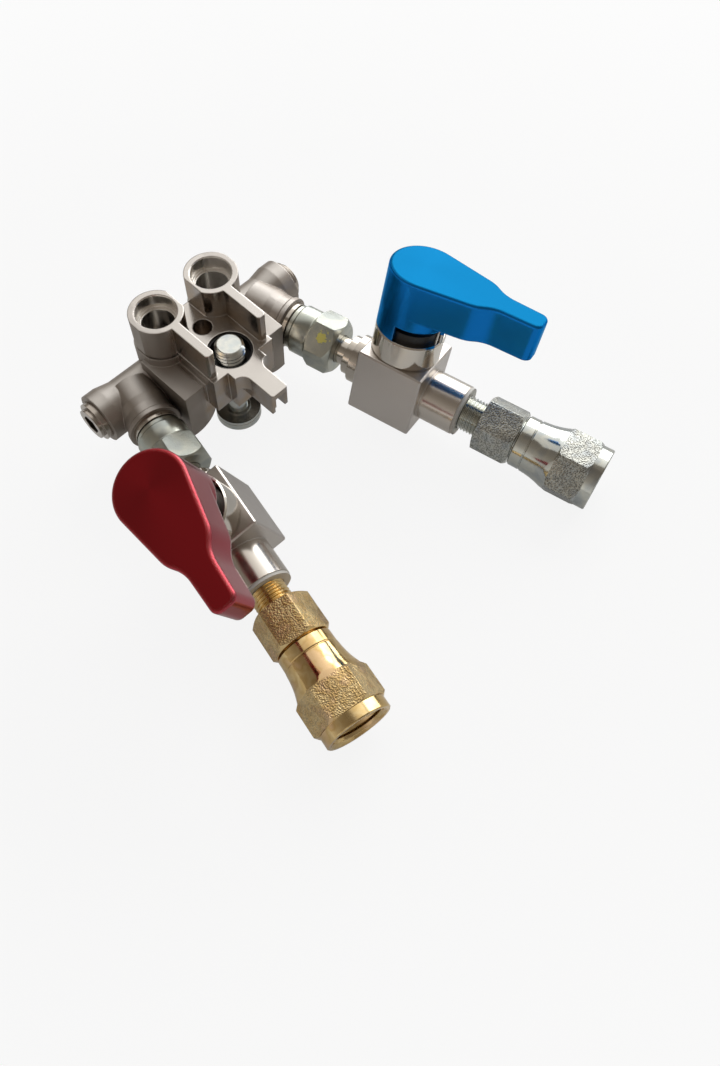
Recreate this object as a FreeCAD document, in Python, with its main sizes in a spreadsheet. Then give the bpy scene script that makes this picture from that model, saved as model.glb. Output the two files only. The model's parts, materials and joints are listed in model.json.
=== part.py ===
"""Fluid manifold with two shut-off valves, in millimetres.

Row frame: the origin is the mouth of the locating hole in the deck, +Z runs up along the ports and the bolt,
-Y runs towards the hoses and +X is the blue side. Each line has a frame of its own: x along the line away from
the block, z up the valve stem, with its origin where the line's axis meets the axis of the arm.
"""
import FreeCAD, Part
import math
import os
import Sketcher

Vector = FreeCAD.Vector

# Driving dimensions: name, value, what it is
DIMENSIONS = [
    # Ports and deck
    ("port_offset", 9.35, "port axis from the middle plane"),
    ("port_forward", 5.7, "port and arm axes behind the locating hole"),
    ("port_top", 9.0, "port mouths and rib tops above the deck"),
    ("port_radius", 7.15, "outside of a port"),
    ("port_flat_inner", 6.3, "port axis to its inner flat"),
    ("port_flat_outer", 6.95, "port axis to its outer flat"),
    ("port_bore_radius", 5.4, "port counterbore"),
    ("port_bore_depth", 4.2, "port counterbore depth"),
    ("port_pipe_radius", 4.4, "passage below the counterbore"),
    ("port_mouth_chamfer", 0.25, "chamfer at a port's mouth"),
    ("port_band_radius", 7.45, "lower band of a port"),
    ("port_band_top", 1.4, "top of the lower band below the deck"),
    ("port_band_bottom", 7.0, "bottom of the lower band below the deck"),
    ("port_groove_depth", 0.55, "grooves above and below the band"),
    ("port_groove_width", 0.8, "width of each groove"),
    ("port_ring_length", 2.0, "second band of a port, under the lower groove"),
    ("port_foot_radius", 8.3, "foot of a port where it joins the arm"),
    ("deck_half_width", 10.3, "deck, half its width"),
    ("deck_front", 15.8, "front edge of the deck in front of the locating hole"),
    ("deck_back", 9.3, "back edge of the deck behind the locating hole"),
    ("deck_thickness", 5.0, "deck plate"),
    ("neck_half_width", 5.5, "neck in front of the bolt, half its width"),
    ("neck_front", 18.6, "front end of the neck's straight sides"),
    ("rib_offset", 8.8, "rib centre from the middle plane"),
    ("rib_thickness", 2.6, "rib"),
    ("rib_front", 14.4, "front end of a rib in front of the locating hole"),
    ("rib_chamfer", 0.6, "chamfer on a rib's front corner"),
    ("locating_radius", 2.6, "locating hole"),
    ("locating_depth", 7.0, "locating hole depth"),
    # Tail
    ("tail_half_width", 2.7, "tail, half its width over the side walls"),
    ("tail_end", 29.5, "tail end in front of the locating hole"),
    ("tail_depth", 7.7, "height of the tail's side walls"),
    ("tail_wall", 1.0, "tail side walls"),
    ("tail_top", 1.8, "tail top plate"),
    ("tail_corner", 0.5, "chamfer at the tail's corners"),
    # Core of the block
    ("core_half_width", 10.0, "core between the ports, half its width"),
    ("core_bottom", 20.4, "underside of the core below the deck"),
    ("core_front", 3.2, "front of the core in front of the locating hole"),
    ("core_back", 8.6, "back of the core behind the locating hole"),
    ("core_round", 2.5, "rounding on the core"),
    ("pillar_depth", 12.0, "underside of the bolt's pillar below the deck"),
    ("web_half_width", 17.4, "webs that carry the hose bosses, half their width"),
    ("web_top", 4.0, "top of the webs below the deck"),
    ("web_offset", 15.5, "axis of a web's round underside from the middle plane"),
    ("web_radius", 7.4, "round underside of a web"),
    ("web_front", 12.0, "front of the web in front of the locating hole"),
    # Bolt
    ("bolt_forward", 10.6, "bolt axis in front of the locating hole"),
    ("bolt_radius", 4.0, "M8 thread"),
    ("bolt_point", 2.4, "bolt end above the deck"),
    ("bolt_point_chamfer", 0.9, "chamfer at the bolt end"),
    ("bolt_thread_gap", 0.3, "lower end of the thread above the retaining cup's floor"),
    ("bolt_shank_radius", 2.8, "thin shank below the thread"),
    ("bolt_head_radius", 6.4, "bolt head"),
    ("bolt_head_length", 2.8, "bolt head"),
    ("bolt_foot_radius", 5.9, "rounded underside of the bolt head"),
    ("bolt_foot_length", 0.6, "rounded underside of the bolt head"),
    ("bolt_socket_flats", 5.0, "hexagon socket across flats"),
    ("bolt_socket_depth", 2.2, "hexagon socket depth"),
    ("bolt_hole_clearance", 0.4, "bolt to its clearance hole, all round"),
    ("bolt_travel", 12.5, "how far the bolt slides up"),
    ("bolt_seat_gap", 0.3, "washer to the pillar at the end of the travel"),
    ("washer_thickness", 1.0, "washer on the bolt head"),
    ("washer_hub_radius", 3.6, "raised inner rim of the washer"),
    ("washer_hub_height", 0.25, "raised inner rim of the washer"),
    ("washer_clearance", 0.08, "washer to the bolt, all round"),
    ("recess_radius", 6.0, "recess round the bolt"),
    ("recess_depth", 5.2, "recess round the bolt"),
    ("retainer_drop", 0.5, "rim of the retaining cup below the deck"),
    ("retainer_wall", 0.55, "wall of the retaining cup"),
    ("retainer_floor", 1.5, "floor of the retaining cup"),
    ("retainer_clearance", 0.06, "retaining cup to the bolt's shank, all round"),
    # Arms
    ("arm_drop", 13.5, "arm and line axes below the deck"),
    ("arm_end", 33.8, "arm mouth from the middle plane"),
    ("arm_radius", 7.1, "arm at its mouth"),
    ("arm_root_radius", 6.2, "arm where its flared end starts"),
    ("arm_flare_start", 25.8, "start of the flared end from the middle plane"),
    ("arm_bore_radius", 4.8, "screen chamber"),
    ("plug_thread_radius", 5.6, "thread in an arm's mouth"),
    ("plug_thread_length", 5.0, "thread in an arm's mouth"),
    ("plug_shoulder_length", 1.6, "part of a plug that stands out of the arm"),
    ("plug_head_radius", 4.4, "raised end of a plug"),
    ("plug_head_length", 1.1, "raised end of a plug"),
    ("plug_nose_gap", 0.1, "nose of a plug to the bottom of its thread"),
    ("plug_socket_flats", 5.0, "hexagon socket across flats"),
    ("plug_socket_depth", 3.2, "hexagon socket depth"),
    ("plug_seal_wire", 0.55, "radius of the plug seal's section"),
    ("screen_radius", 3.6, "outside of a screen"),
    ("screen_wall", 0.5, "screen wall"),
    ("screen_length", 13.5, "screen"),
    ("screen_rim", 0.9, "rim at the plug's end of a screen"),
    ("screen_rim_radius", 4.7, "rim at the plug's end of a screen"),
    # Lines
    ("junction", 22.2, "crossing of line and arm axes from the middle plane"),
    ("splay_angle", 12.4, "each line turns outwards from -Y, degrees"),
    ("lean_blue_angle", 14.5, "blue stem leans outwards, degrees"),
    ("lean_red_angle", 23.5, "red stem leans outwards, degrees"),
    ("union_blue_angle", 53.0, "blue union nut as tightened, degrees"),
    ("union_red_angle", 20.0, "red union nut as tightened, degrees"),
    ("adapter_blue_angle", 34.0, "blue adapter as tightened, degrees"),
    ("adapter_red_angle", 50.0, "red adapter as tightened, degrees"),
    ("nut_blue_angle", 11.0, "blue hose nut at rest, degrees"),
    ("nut_red_angle", 42.0, "red hose nut at rest, degrees"),
    ("boss_end", 13.0, "face of a hose boss"),
    ("boss_radius", 7.4, "hose boss"),
    ("boss_rim_width", 1.3, "raised rim at its mouth"),
    ("boss_waist_radius", 6.9, "hose boss behind its rim"),
    ("line_bore_radius", 3.5, "passage through a line"),
    ("stub_thread_radius", 5.0, "thread in a hose boss"),
    ("stub_thread_length", 5.0, "thread in a hose boss"),
    ("stub_flange_radius", 6.4, "flange of a stub"),
    ("stub_flange_length", 1.5, "flange of a stub"),
    ("union_gap", 0.3, "stub flange to the union nut"),
    ("union_collar_length", 7.0, "round collar of the union nut"),
    ("union_hexagon_length", 8.0, "hexagon of the union nut"),
    ("stub_seal_wire", 0.5, "radius of the stub seal's section"),
    ("stub_nose_radius", 5.3, "threaded nose inside the union nut"),
    ("stub_nose_gap", 0.2, "nose to the inlet fitting's head"),
    ("union_collar_radius", 7.0, "round collar of the union nut"),
    ("union_flats", 14.5, "union nut across flats"),
    ("thread_clearance", 0.05, "thread flanks, all round"),
    ("tail_head_radius", 5.2, "head of the inlet fitting inside the nut"),
    ("tail_head_length", 1.7, "head of the inlet fitting inside the nut"),
    ("union_wall", 2.3, "back wall of the union nut"),
    ("hexagon_chamfer", 0.65, "length of the chamfer on a hexagon's corners"),
    ("tail_neck_radius", 3.95, "neck of the inlet fitting"),
    ("tail_neck_length", 3.4, "neck of the inlet fitting"),
    ("tail_step_length", 2.4, "first step of the inlet fitting"),
    ("tail_flange_length", 3.7, "second step of the inlet fitting"),
    ("tail_step_radius", 5.6, "first step of the inlet fitting"),
    ("tail_flange_radius", 6.9, "second step of the inlet fitting"),
    ("fit_gap", 0.02, "turned pieces in one body, all round"),
    # Valve body
    ("body_length", 19.0, "valve body along the line"),
    ("stem_setback", 9.3, "inlet face of the body to the stem axis"),
    ("outlet_length", 11.2, "outlet boss with its white ring"),
    ("body_half_width", 9.8, "valve body, half its width"),
    ("body_above", 10.5, "line axis to the top of a valve body"),
    ("body_below", 8.6, "line axis to the bottom of a valve body"),
    ("body_edge", 0.4, "chamfer on a valve body's edges"),
    ("outlet_radius", 7.1, "outlet boss"),
    ("outlet_seal_length", 0.9, "white ring"),
    ("outlet_seal_radius", 6.9, "white ring"),
    ("adapter_thread_radius", 4.85, "male thread into the outlet"),
    ("adapter_thread_length", 8.0, "length of that thread in the outlet"),
    ("adapter_thread_gap", 0.2, "adapter's end to the bottom of the outlet's thread"),
    ("adapter_thread_shown", 5.6, "length of the same thread outside the outlet"),
    # Ball and stem
    ("ball_radius", 6.2, "ball"),
    ("ball_clearance", 0.06, "ball to its seats"),
    ("chamber_clearance", 0.5, "ball to its chamber, all round"),
    ("seat_thickness", 2.2, "seat rings"),
    ("seat_start", 4.9, "stem axis to a seat ring's near face"),
    ("stem_radius", 3.6, "stem"),
    ("stem_clearance", 0.06, "stem to the bonnet, all round"),
    ("stem_well_clearance", 0.3, "stem collar to its well, all round"),
    ("stem_collar_radius", 4.7, "collar that keeps the stem in"),
    ("stem_collar_start", 6.4, "line axis to the stem's collar"),
    ("stem_collar_length", 1.2, "stem's collar"),
    ("tang_thickness", 2.4, "stem tang"),
    ("tang_depth", 1.7, "slot in the ball"),
    ("square_flats", 5.0, "square at the stem's top"),
    ("stem_oring_wire", 0.5, "radius of the stem seal's section"),
    ("bonnet_radius", 9.4, "bonnet"),
    ("bonnet_top", 17.9, "line axis to the bonnet's top"),
    ("bonnet_chamfer", 0.4, "chamfer at the bonnet's rims"),
    ("bonnet_thread_radius", 6.4, "bonnet thread"),
    ("bonnet_thread_bottom", 8.0, "line axis to the bonnet's lower face"),
    ("ring_radius", 7.8, "black ring under the handle"),
    ("ring_height", 2.6, "black ring under the handle"),
    ("ring_hole_radius", 4.0, "hole in the black ring"),
    ("pin_radius", 0.65, "stop pins"),
    ("pin_circle", 8.7, "stop pins from the stem axis"),
    ("pin_sunk", 2.0, "stop pins in the bonnet"),
    ("pin_height", 2.4, "stop pins above the bonnet"),
    # Handle
    ("handle_top", 36.2, "line axis to the handle's top face"),
    ("handle_gap", 0.3, "handle skirt above the bonnet"),
    ("stem_square_top", 33.0, "line axis to the top of the stem"),
    ("stem_square_start", 23.2, "line axis to the start of the stem's square"),
    ("stop_lead_angle", 2.0, "stop pins beyond a quarter turn, degrees"),
    ("quarter_turn_angle", 90.0, "travel of a handle, degrees"),
    ("skirt_inner_radius", 8.1, "inside of the handle's skirt"),
    ("skirt_height", 4.6, "inside of the handle's skirt"),
    ("hub_radius", 9.4, "hub of the handle"),
    ("arm_depth", 10.2, "depth of the lever"),
    ("lever_taper_angle", 10.8, "each side's slope, degrees"),
    ("lever_straight", 14.8, "stem axis to the end of the straight sides"),
    ("lever_bend", 8.42, "radius of the two bends in each side"),
    ("lever_bend_angle", 36.8, "steepest slope between the two bends, degrees"),
    ("lever_tip_angle", 2.1, "slope of each side towards the tip, degrees"),
    ("lever_tip", 32.7, "stem axis to the lever's tip"),
    ("lever_corner", 2.2, "radius of the tip's corners"),
    ("handle_edge", 0.8, "rounding on the handle's top edge"),
    ("stop_margin_angle", 7.0, "skirt cut-out beyond a quarter turn each way, degrees"),
    ("socket_clearance", 0.03, "stem square to the handle"),
    ("screw_radius", 2.0, "grub screw"),
    ("screw_height", 27.5, "line axis to the grub screw"),
    ("screw_inset", 0.5, "grub screw below the hub's surface"),
    ("screw_socket_flats", 2.0, "grub screw socket"),
    # Hose adapter and hose nut
    ("adapter_flats", 14.0, "adapter across flats"),
    ("adapter_hexagon_length", 10.8, "hexagon of the adapter"),
    ("adapter_head_length", 2.2, "adapter's head behind its cone"),
    ("adapter_cone_length", 2.6, "sealing cone"),
    ("adapter_nose_gap", 0.4, "adapter's nose to the start of the nut's thread"),
    ("adapter_neck_radius", 5.6, "adapter's neck inside the hose nut"),
    ("adapter_head_radius", 6.6, "adapter's head"),
    ("nose_radius", 4.6, "small end of the sealing cone"),
    ("nut_gap", 0.4, "adapter's hexagon to the hose nut"),
    ("nut_collar_length", 3.4, "round collar of the hose nut"),
    ("nut_collar_radius", 7.2, "round collar of the hose nut"),
    ("nut_cone_length", 7.8, "cone of the hose nut"),
    ("nut_cone_radius", 8.8, "large end of the cone"),
    ("nut_hexagon_length", 9.2, "hexagon of the hose nut"),
    ("nut_lip_length", 3.2, "turned lip of the hose nut"),
    ("nut_thread_depth", 5.8, "mouth to the inner end of the thread"),
    ("nut_head_gap", 0.3, "adapter's head to the nut's inner face"),
    ("wire_inset", 5.5, "nut's collar end to the retaining wire"),
    ("nut_flats", 17.0, "hose nut across flats"),
    ("nut_lip_radius", 8.7, "turned lip of the hose nut"),
    ("nut_thread_radius", 6.9, "thread in the hose nut"),
    ("nut_relief_radius", 7.2, "relief behind the thread"),
    ("nut_mouth_chamfer", 0.6, "chamfer in the mouth"),
    ("nut_bore_clearance", 0.08, "hose nut to the adapter's neck, all round"),
    ("wire_radius", 0.45, "retaining wire"),
]

doc = FreeCAD.newDocument("fluid_manifold")


class Size:
    """A value together with the sheet expression that gives it."""

    def __init__(self, value, text):
        self.value = float(value)
        self.text = text

    @staticmethod
    def of(item):
        return item if isinstance(item, Size) else Size(item, repr(float(item)))

    def combine(self, other, sign, value):
        return Size(value, "(%s %s %s)" % (self.text, sign, other.text))

    def __add__(self, other):
        other = Size.of(other)
        return self.combine(other, "+", self.value + other.value)

    def __sub__(self, other):
        other = Size.of(other)
        return self.combine(other, "-", self.value - other.value)

    def __mul__(self, other):
        other = Size.of(other)
        return self.combine(other, "*", self.value * other.value)

    def __truediv__(self, other):
        other = Size.of(other)
        return self.combine(other, "/", self.value / other.value)

    def __neg__(self):
        return Size(-self.value, "(0 - %s)" % self.text)

    __radd__ = __add__
    __rmul__ = __mul__

    def sine(self):
        return Size(math.sin(math.radians(self.value)), "sin(%s * 1 deg)" % self.text)

    def cosine(self):
        return Size(math.cos(math.radians(self.value)), "cos(%s * 1 deg)" % self.text)


class Dimensions:
    """Writes the driving dimensions into a sheet and hands each out by name."""

    def __init__(self, rows):
        sheet = doc.addObject("Spreadsheet::Sheet", "dims")
        for number, (name, value, note) in enumerate(rows, start=1):
            sheet.set("A%d" % number, repr(value))
            sheet.set("B%d" % number, note)
            sheet.setAlias("A%d" % number, name)
            setattr(self, name, Size(value, "dims.%s" % name))


dim = Dimensions(DIMENSIONS)
doc.recompute()
zero = Size(0.0, "0")


class Stations:
    """Places along a line, each worked out from the one before it."""

    stub_flange_end = dim.boss_end + dim.stub_flange_length
    union_start = stub_flange_end + dim.union_gap
    union_collar_end = union_start + dim.union_collar_length
    union_end = union_collar_end + dim.union_hexagon_length
    tail_head_end = union_end - dim.union_wall
    stub_nose_end = tail_head_end - dim.tail_head_length - dim.stub_nose_gap
    tail_step = union_end + dim.tail_neck_length
    tail_flange = tail_step + dim.tail_step_length
    body_start = tail_flange + dim.tail_flange_length
    body_end = body_start + dim.body_length
    stem = body_start + dim.stem_setback
    outlet_end = body_end + dim.outlet_length
    adapter_end = outlet_end - dim.adapter_thread_length
    adapter_hexagon = outlet_end + dim.adapter_thread_shown
    adapter_hexagon_end = adapter_hexagon + dim.adapter_hexagon_length
    nut_start = adapter_hexagon_end + dim.nut_gap
    nut_collar_end = nut_start + dim.nut_collar_length
    nut_hexagon = nut_collar_end + dim.nut_cone_length
    nut_hexagon_end = nut_hexagon + dim.nut_hexagon_length
    nut_end = nut_hexagon_end + dim.nut_lip_length
    nut_thread = nut_end - dim.nut_thread_depth
    nose_end = nut_thread - dim.adapter_nose_gap
    adapter_cone = nose_end - dim.adapter_cone_length
    adapter_head = adapter_cone - dim.adapter_head_length
    wire = nut_start + dim.wire_inset


at = Stations


# Small tools for bound sizes and sketches

def bind(item, path, size):
    """Ties one property of an object to a size."""
    size = Size.of(size)
    item.setExpression(path, size.text)


def place(item, base):
    """Ties the three coordinates of an object's place."""
    for axis, size in zip("xyz", base):
        if Size.of(size).text != "0":
            bind(item, "Placement.Base.%s" % axis, size)


TURN_TO = {
    "Z": FreeCAD.Rotation(),
    "X": FreeCAD.Rotation(Vector(0, 1, 0), 90),
    "-X": FreeCAD.Rotation(Vector(0, 1, 0), -90),
    "-Y": FreeCAD.Rotation(Vector(1, 0, 0), 90),
}


def origin_plane(body, role):
    return next(item for item in body.Origin.OriginFeatures if item.Role == role)


def point_constraints(geometry, corner, x, y):
    """Fixes one corner of a sketch at a bound place."""
    made = []
    for kind, size, axis in (("DistanceX", x, -2), ("DistanceY", y, -1)):
        size = Size.of(size)
        if abs(size.value) < 1e-9:
            made.append((Sketcher.Constraint("PointOnObject", geometry, corner, axis), None))
        elif size.value > 0:
            made.append((Sketcher.Constraint(kind, -1, 1, geometry, corner, size.value), size))
        else:
            size = -size
            made.append((Sketcher.Constraint(kind, geometry, corner, -1, 1, size.value), size))
    return made


def add_bound(sketch, made):
    """Adds constraints, then binds those that carry a size."""
    bound = []
    for number, (constraint, size) in enumerate(made, start=sketch.ConstraintCount):
        if size is not None and "dims." in size.text:
            constraint.Name = "size_%d" % number
            bound.append((constraint.Name, size.text))
    sketch.addConstraint([constraint for constraint, size in made])
    for name, text in bound:
        sketch.setExpression("Constraints.%s" % name, text)


def arc_centre(start, end, radius, side):
    """Centre of an arc from start to end; side 1 turns left, -1 turns right."""
    middle = (start + end) * 0.5
    half = (end - start) * 0.5
    height = math.sqrt(max(radius ** 2 - half.Length ** 2, 0.0))
    normal = Vector(-half.y, half.x, 0)
    normal.normalize()
    return middle + normal * height * side


def draw_loop(sketch, corners):
    """Draws a closed loop of lines and arcs through bound corners.

    A corner is (x, y) or (x, y, radius, side), where radius and side belong to the arc that ends there.
    """
    points = [Vector(Size.of(c[0]).value, Size.of(c[1]).value, 0) for c in corners]
    count = len(corners)
    start = sketch.GeometryCount
    shapes, ends, made = [], [], []
    for index in range(count):
        a, b = points[index], points[(index + 1) % count]
        target = corners[(index + 1) % count]
        if len(target) == 2:
            shapes.append(Part.LineSegment(a, b))
            ends.append((1, 2))
            continue
        radius, side = Size.of(target[2]), target[3]
        centre = arc_centre(a, b, radius.value, side)
        angle_a = math.atan2(a.y - centre.y, a.x - centre.x)
        angle_b = math.atan2(b.y - centre.y, b.x - centre.x)
        circle = Part.Circle(centre, Vector(0, 0, 1), radius.value)
        if side > 0:
            shapes.append(Part.ArcOfCircle(circle, angle_a, angle_b))
            ends.append((1, 2))
        else:
            shapes.append(Part.ArcOfCircle(circle, angle_b, angle_a))
            ends.append((2, 1))
        made.append((Sketcher.Constraint("Radius", start + index, radius.value), radius))
    sketch.addGeometry(shapes, False)
    for index in range(count):
        following = (index + 1) % count
        made.append((Sketcher.Constraint("Coincident", start + index, ends[index][1],
                                         start + following, ends[following][0]), None))
        made += point_constraints(start + index, ends[index][0], corners[index][0], corners[index][1])
    add_bound(sketch, made)


def draw_circle(sketch, x, y, radius):
    """Draws a bound circle."""
    x, y, radius = Size.of(x), Size.of(y), Size.of(radius)
    number = sketch.GeometryCount
    sketch.addGeometry(Part.Circle(Vector(x.value, y.value, 0), Vector(0, 0, 1), radius.value), False)
    made = [(Sketcher.Constraint("Radius", number, radius.value), radius)]
    add_bound(sketch, made + point_constraints(number, 3, x, y))


def hexagon_corners(flats, turn=0.0):
    """Corners of a hexagon with the given width across flats."""
    share = 1 / math.sqrt(3)
    corners = []
    for step in range(6):
        angle = math.radians(turn + 60 * step)
        corners.append((flats * (share * math.cos(angle)), flats * (share * math.sin(angle))))
    return corners


# Bodies made by turning, with sockets and hexagons cut in

class Turned:
    """A turned piece about its own X axis, as a PartDesign body."""

    def __init__(self, label, profile):
        self.body = doc.addObject("PartDesign::Body", label)
        self.body.Label = label
        sketch = self.sketch("profile", "XZ_Plane")
        draw_loop(sketch, profile)
        turn = self.body.newObject("PartDesign::Revolution", label + "_turn")
        turn.Profile = sketch
        turn.ReferenceAxis = (sketch, ["H_Axis"])
        turn.Angle = 360
        self.label = label

    def sketch(self, name, role, station=zero):
        """A sketch on one of the body's planes, moved out to a station."""
        sketch = self.body.newObject("Sketcher::SketchObject", "%s_%s" % (self.body.Name, name))
        sketch.AttachmentSupport = (origin_plane(self.body, role), "")
        sketch.MapMode = "FlatFace"
        station = Size.of(station)
        sketch.AttachmentOffset = FreeCAD.Placement(Vector(0, 0, station.value), FreeCAD.Rotation())
        if station.text != "0":
            sketch.setExpression("AttachmentOffset.Base.z", station.text)
        return sketch

    def pocket(self, name, sketch, length, forwards=False):
        """Cuts a sketch into the body; forwards cuts along the sketch's normal."""
        pocket = self.body.newObject("PartDesign::Pocket", "%s_%s" % (self.body.Name, name))
        pocket.Profile = sketch
        pocket.Reversed = forwards
        bind(pocket, "Length", length)
        return pocket

    def cut_hexagon(self, flats, start, end, turn=0.0):
        """Mills a hexagon on the outside between two stations."""
        sketch = self.sketch("hexagon", "YZ_Plane", end)
        draw_loop(sketch, hexagon_corners(flats, turn))
        draw_circle(sketch, zero, zero, flats)
        self.pocket("milling", sketch, end - start)
        return self

    def cut_socket(self, flats, station, depth, forwards=False):
        """Cuts a hexagon socket into an end face."""
        sketch = self.sketch("socket", "YZ_Plane", station)
        draw_loop(sketch, hexagon_corners(flats))
        self.pocket("broach", sketch, depth, forwards)
        return self


# Plain solids for the block, each bound to the sheet

def cylinder(name, radius, height, base, axis="Z"):
    item = doc.addObject("Part::Cylinder", name)
    bind(item, "Radius", radius)
    bind(item, "Height", height)
    item.Placement.Rotation = TURN_TO[axis]
    place(item, base)
    return item


def cone(name, radius_a, radius_b, height, base, axis="Z"):
    item = doc.addObject("Part::Cone", name)
    bind(item, "Radius1", radius_a)
    bind(item, "Radius2", radius_b)
    bind(item, "Height", height)
    item.Placement.Rotation = TURN_TO[axis]
    place(item, base)
    return item


def box(name, low, high):
    item = doc.addObject("Part::Box", name)
    for side, low_size, high_size in zip(("Length", "Width", "Height"), low, high):
        bind(item, side, Size.of(high_size) - Size.of(low_size))
    place(item, low)
    return item


def rounded(name, item, radius):
    """Rounds every edge of a box."""
    doc.recompute()
    fillet = doc.addObject("Part::Fillet", name)
    fillet.Base = item
    size = Size.of(radius).value
    fillet.Edges = [(number, size, size) for number in range(1, len(item.Shape.Edges) + 1)]
    return fillet


def prism(name, corners, low, height):
    """A plate drawn by a loop of corners, between two heights."""
    sketch = doc.addObject("Sketcher::SketchObject", name + "_outline")
    place(sketch, (zero, zero, low))
    draw_loop(sketch, corners)
    item = doc.addObject("Part::Extrusion", name)
    item.Base = sketch
    item.DirMode = "Custom"
    item.Dir = Vector(0, 0, 1)
    item.Solid = True
    bind(item, "LengthFwd", height)
    return item


def fuse(name, items):
    item = doc.addObject("Part::MultiFuse", name)
    item.Shapes = items
    item.Refine = True
    return item


def cut(name, base, tool):
    item = doc.addObject("Part::Cut", name)
    item.Base = base
    item.Tool = tool
    return item


def common(name, items):
    item = doc.addObject("Part::MultiCommon", name)
    item.Shapes = items
    return item


parts = {}


def keep(label, item, placement=None):
    """Registers a finished sub-part under the name of its node."""
    item.Label = label
    if placement is not None:
        item.Placement = placement
    parts[label] = item
    return item


# The block

bolt_y = -dim.bolt_forward
arm_y = dim.port_forward
arm_z = -dim.arm_drop
SIDES = (("blue", 1), ("red", -1))


def line_placement(side):
    """Frame of a line: x along it, z up the valve stem."""
    splay = math.radians(dim.splay_angle.value)
    lean = math.radians((dim.lean_blue_angle if side > 0 else dim.lean_red_angle).value)
    along = Vector(side * math.sin(splay), -math.cos(splay), 0)
    outwards = Vector(side * math.cos(splay), math.sin(splay), 0)
    up = Vector(0, 0, 1) * math.cos(lean) + outwards * math.sin(lean)
    across = up.cross(along)
    rotation = FreeCAD.Rotation(along, across, up, "ZXY")
    base = Vector(side * dim.junction.value, arm_y.value, arm_z.value)
    return FreeCAD.Placement(base, rotation)


def level_line_placement(side):
    """The same frame with its z axis upright, for what belongs to the block."""
    splay = math.radians(dim.splay_angle.value)
    along = Vector(side * math.sin(splay), -math.cos(splay), 0)
    up = Vector(0, 0, 1)
    rotation = FreeCAD.Rotation(along, up.cross(along), up, "ZXY")
    base = Vector(side * dim.junction.value, arm_y.value, arm_z.value)
    return FreeCAD.Placement(base, rotation)


def deck_corners():
    """Outline of the deck, its neck and the tail's root, mirrored about the middle plane."""
    reach = dim.neck_half_width - dim.tail_half_width
    front = -dim.deck_front
    half = [
        (dim.neck_half_width, front),
        (dim.neck_half_width, -dim.neck_front),
        (dim.tail_half_width, -(dim.neck_front + reach), reach, 1),
        (dim.tail_half_width, -(dim.tail_end - dim.tail_corner)),
        (dim.tail_half_width - dim.tail_corner, -dim.tail_end),
    ]
    right = [(dim.deck_half_width, dim.deck_back), (dim.deck_half_width, front)] + half
    left = []
    for number, corner in enumerate(reversed(right)):
        before = right[len(right) - number] if number else None
        mirrored = (-corner[0], corner[1])
        if before is not None and len(before) == 4:
            mirrored = mirrored + (before[2], 1)
        left.append(mirrored)
    return right + left


def port(side, name):
    """One port: a stepped, grooved round post with a flat on each side."""
    x = dim.port_offset * side
    band_bottom = -dim.port_band_bottom
    band_top = -dim.port_band_top
    pieces = [
        cylinder(name + "_post", dim.port_radius, dim.port_top + dim.port_band_top - dim.port_groove_width,
                 (x, arm_y, band_top + dim.port_groove_width)),
        cylinder(name + "_neck", dim.port_radius - dim.port_groove_depth, dim.arm_drop + dim.port_top / 2,
                 (x, arm_y, arm_z)),
        cylinder(name + "_band", dim.port_band_radius, dim.port_band_bottom - dim.port_band_top,
                 (x, arm_y, band_bottom)),
        cylinder(name + "_ring", dim.port_band_radius, dim.port_ring_length,
                 (x, arm_y, band_bottom - dim.port_groove_width - dim.port_ring_length)),
        cone(name + "_foot", dim.port_foot_radius, dim.port_radius - dim.port_groove_depth / 2,
             dim.arm_drop - dim.port_band_bottom - dim.port_groove_width, (x, arm_y, arm_z)),
    ]
    post = fuse(name, pieces)
    inner = dim.port_offset - dim.port_flat_inner
    outer = dim.port_offset + dim.port_flat_outer
    low, high = (inner, outer) if side > 0 else (-outer, -inner)
    reach = dim.port_foot_radius + 1
    slab = box(name + "_flats", (low, arm_y - reach, arm_z), (high, arm_y + reach, dim.port_top))
    return common(name + "_flatted", [post, slab])


def arm(side, name):
    """One closed arm along X with its flared mouth."""
    axis = "X" if side > 0 else "-X"
    core = dim.arm_end - dim.port_offset
    flare = dim.arm_end - dim.arm_flare_start
    straight = flare * 0.45
    return fuse(name, [
        cylinder(name + "_root", dim.arm_root_radius, core - straight,
                 (dim.port_offset * side, arm_y, arm_z), axis),
        cone(name + "_flare", dim.arm_root_radius, dim.arm_radius, flare - straight,
             (dim.arm_flare_start * side, arm_y, arm_z), axis),
        cylinder(name + "_mouth", dim.arm_radius, straight,
                 ((dim.arm_end - straight) * side, arm_y, arm_z), axis),
    ])


def boss_profile():
    """Half section of a hose boss, waisted behind its rim."""
    rim = dim.boss_end - dim.boss_rim_width
    return [(zero, zero), (zero, dim.boss_radius), (rim * 0.55, dim.boss_radius),
            (rim * 0.75, dim.boss_waist_radius), (rim - 0.5, dim.boss_waist_radius), (rim, dim.boss_radius),
            (dim.boss_end, dim.boss_radius), (dim.boss_end, zero)]


def web(side, name):
    """The web beside the bolt's pillar, round underneath, which carries a hose boss."""
    low, high = sorted((dim.web_half_width * side, (dim.web_offset - dim.web_radius) * side),
                       key=lambda size: size.value)
    wall = box(name + "_wall", (low, -dim.web_front, arm_z), (high, arm_y, -dim.web_top))
    barrel = cylinder(name + "_barrel", dim.web_radius, dim.web_front + dim.port_forward,
                      (dim.web_offset * side, arm_y, arm_z), "-Y")
    low, high = sorted((dim.web_half_width * side, zero), key=lambda size: size.value)
    room = box(name + "_room", (low, -dim.web_front, arm_z - dim.web_radius * 2), (high, arm_y, arm_z))
    return fuse(name, [wall, common(name + "_keel", [barrel, room])])


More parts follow.
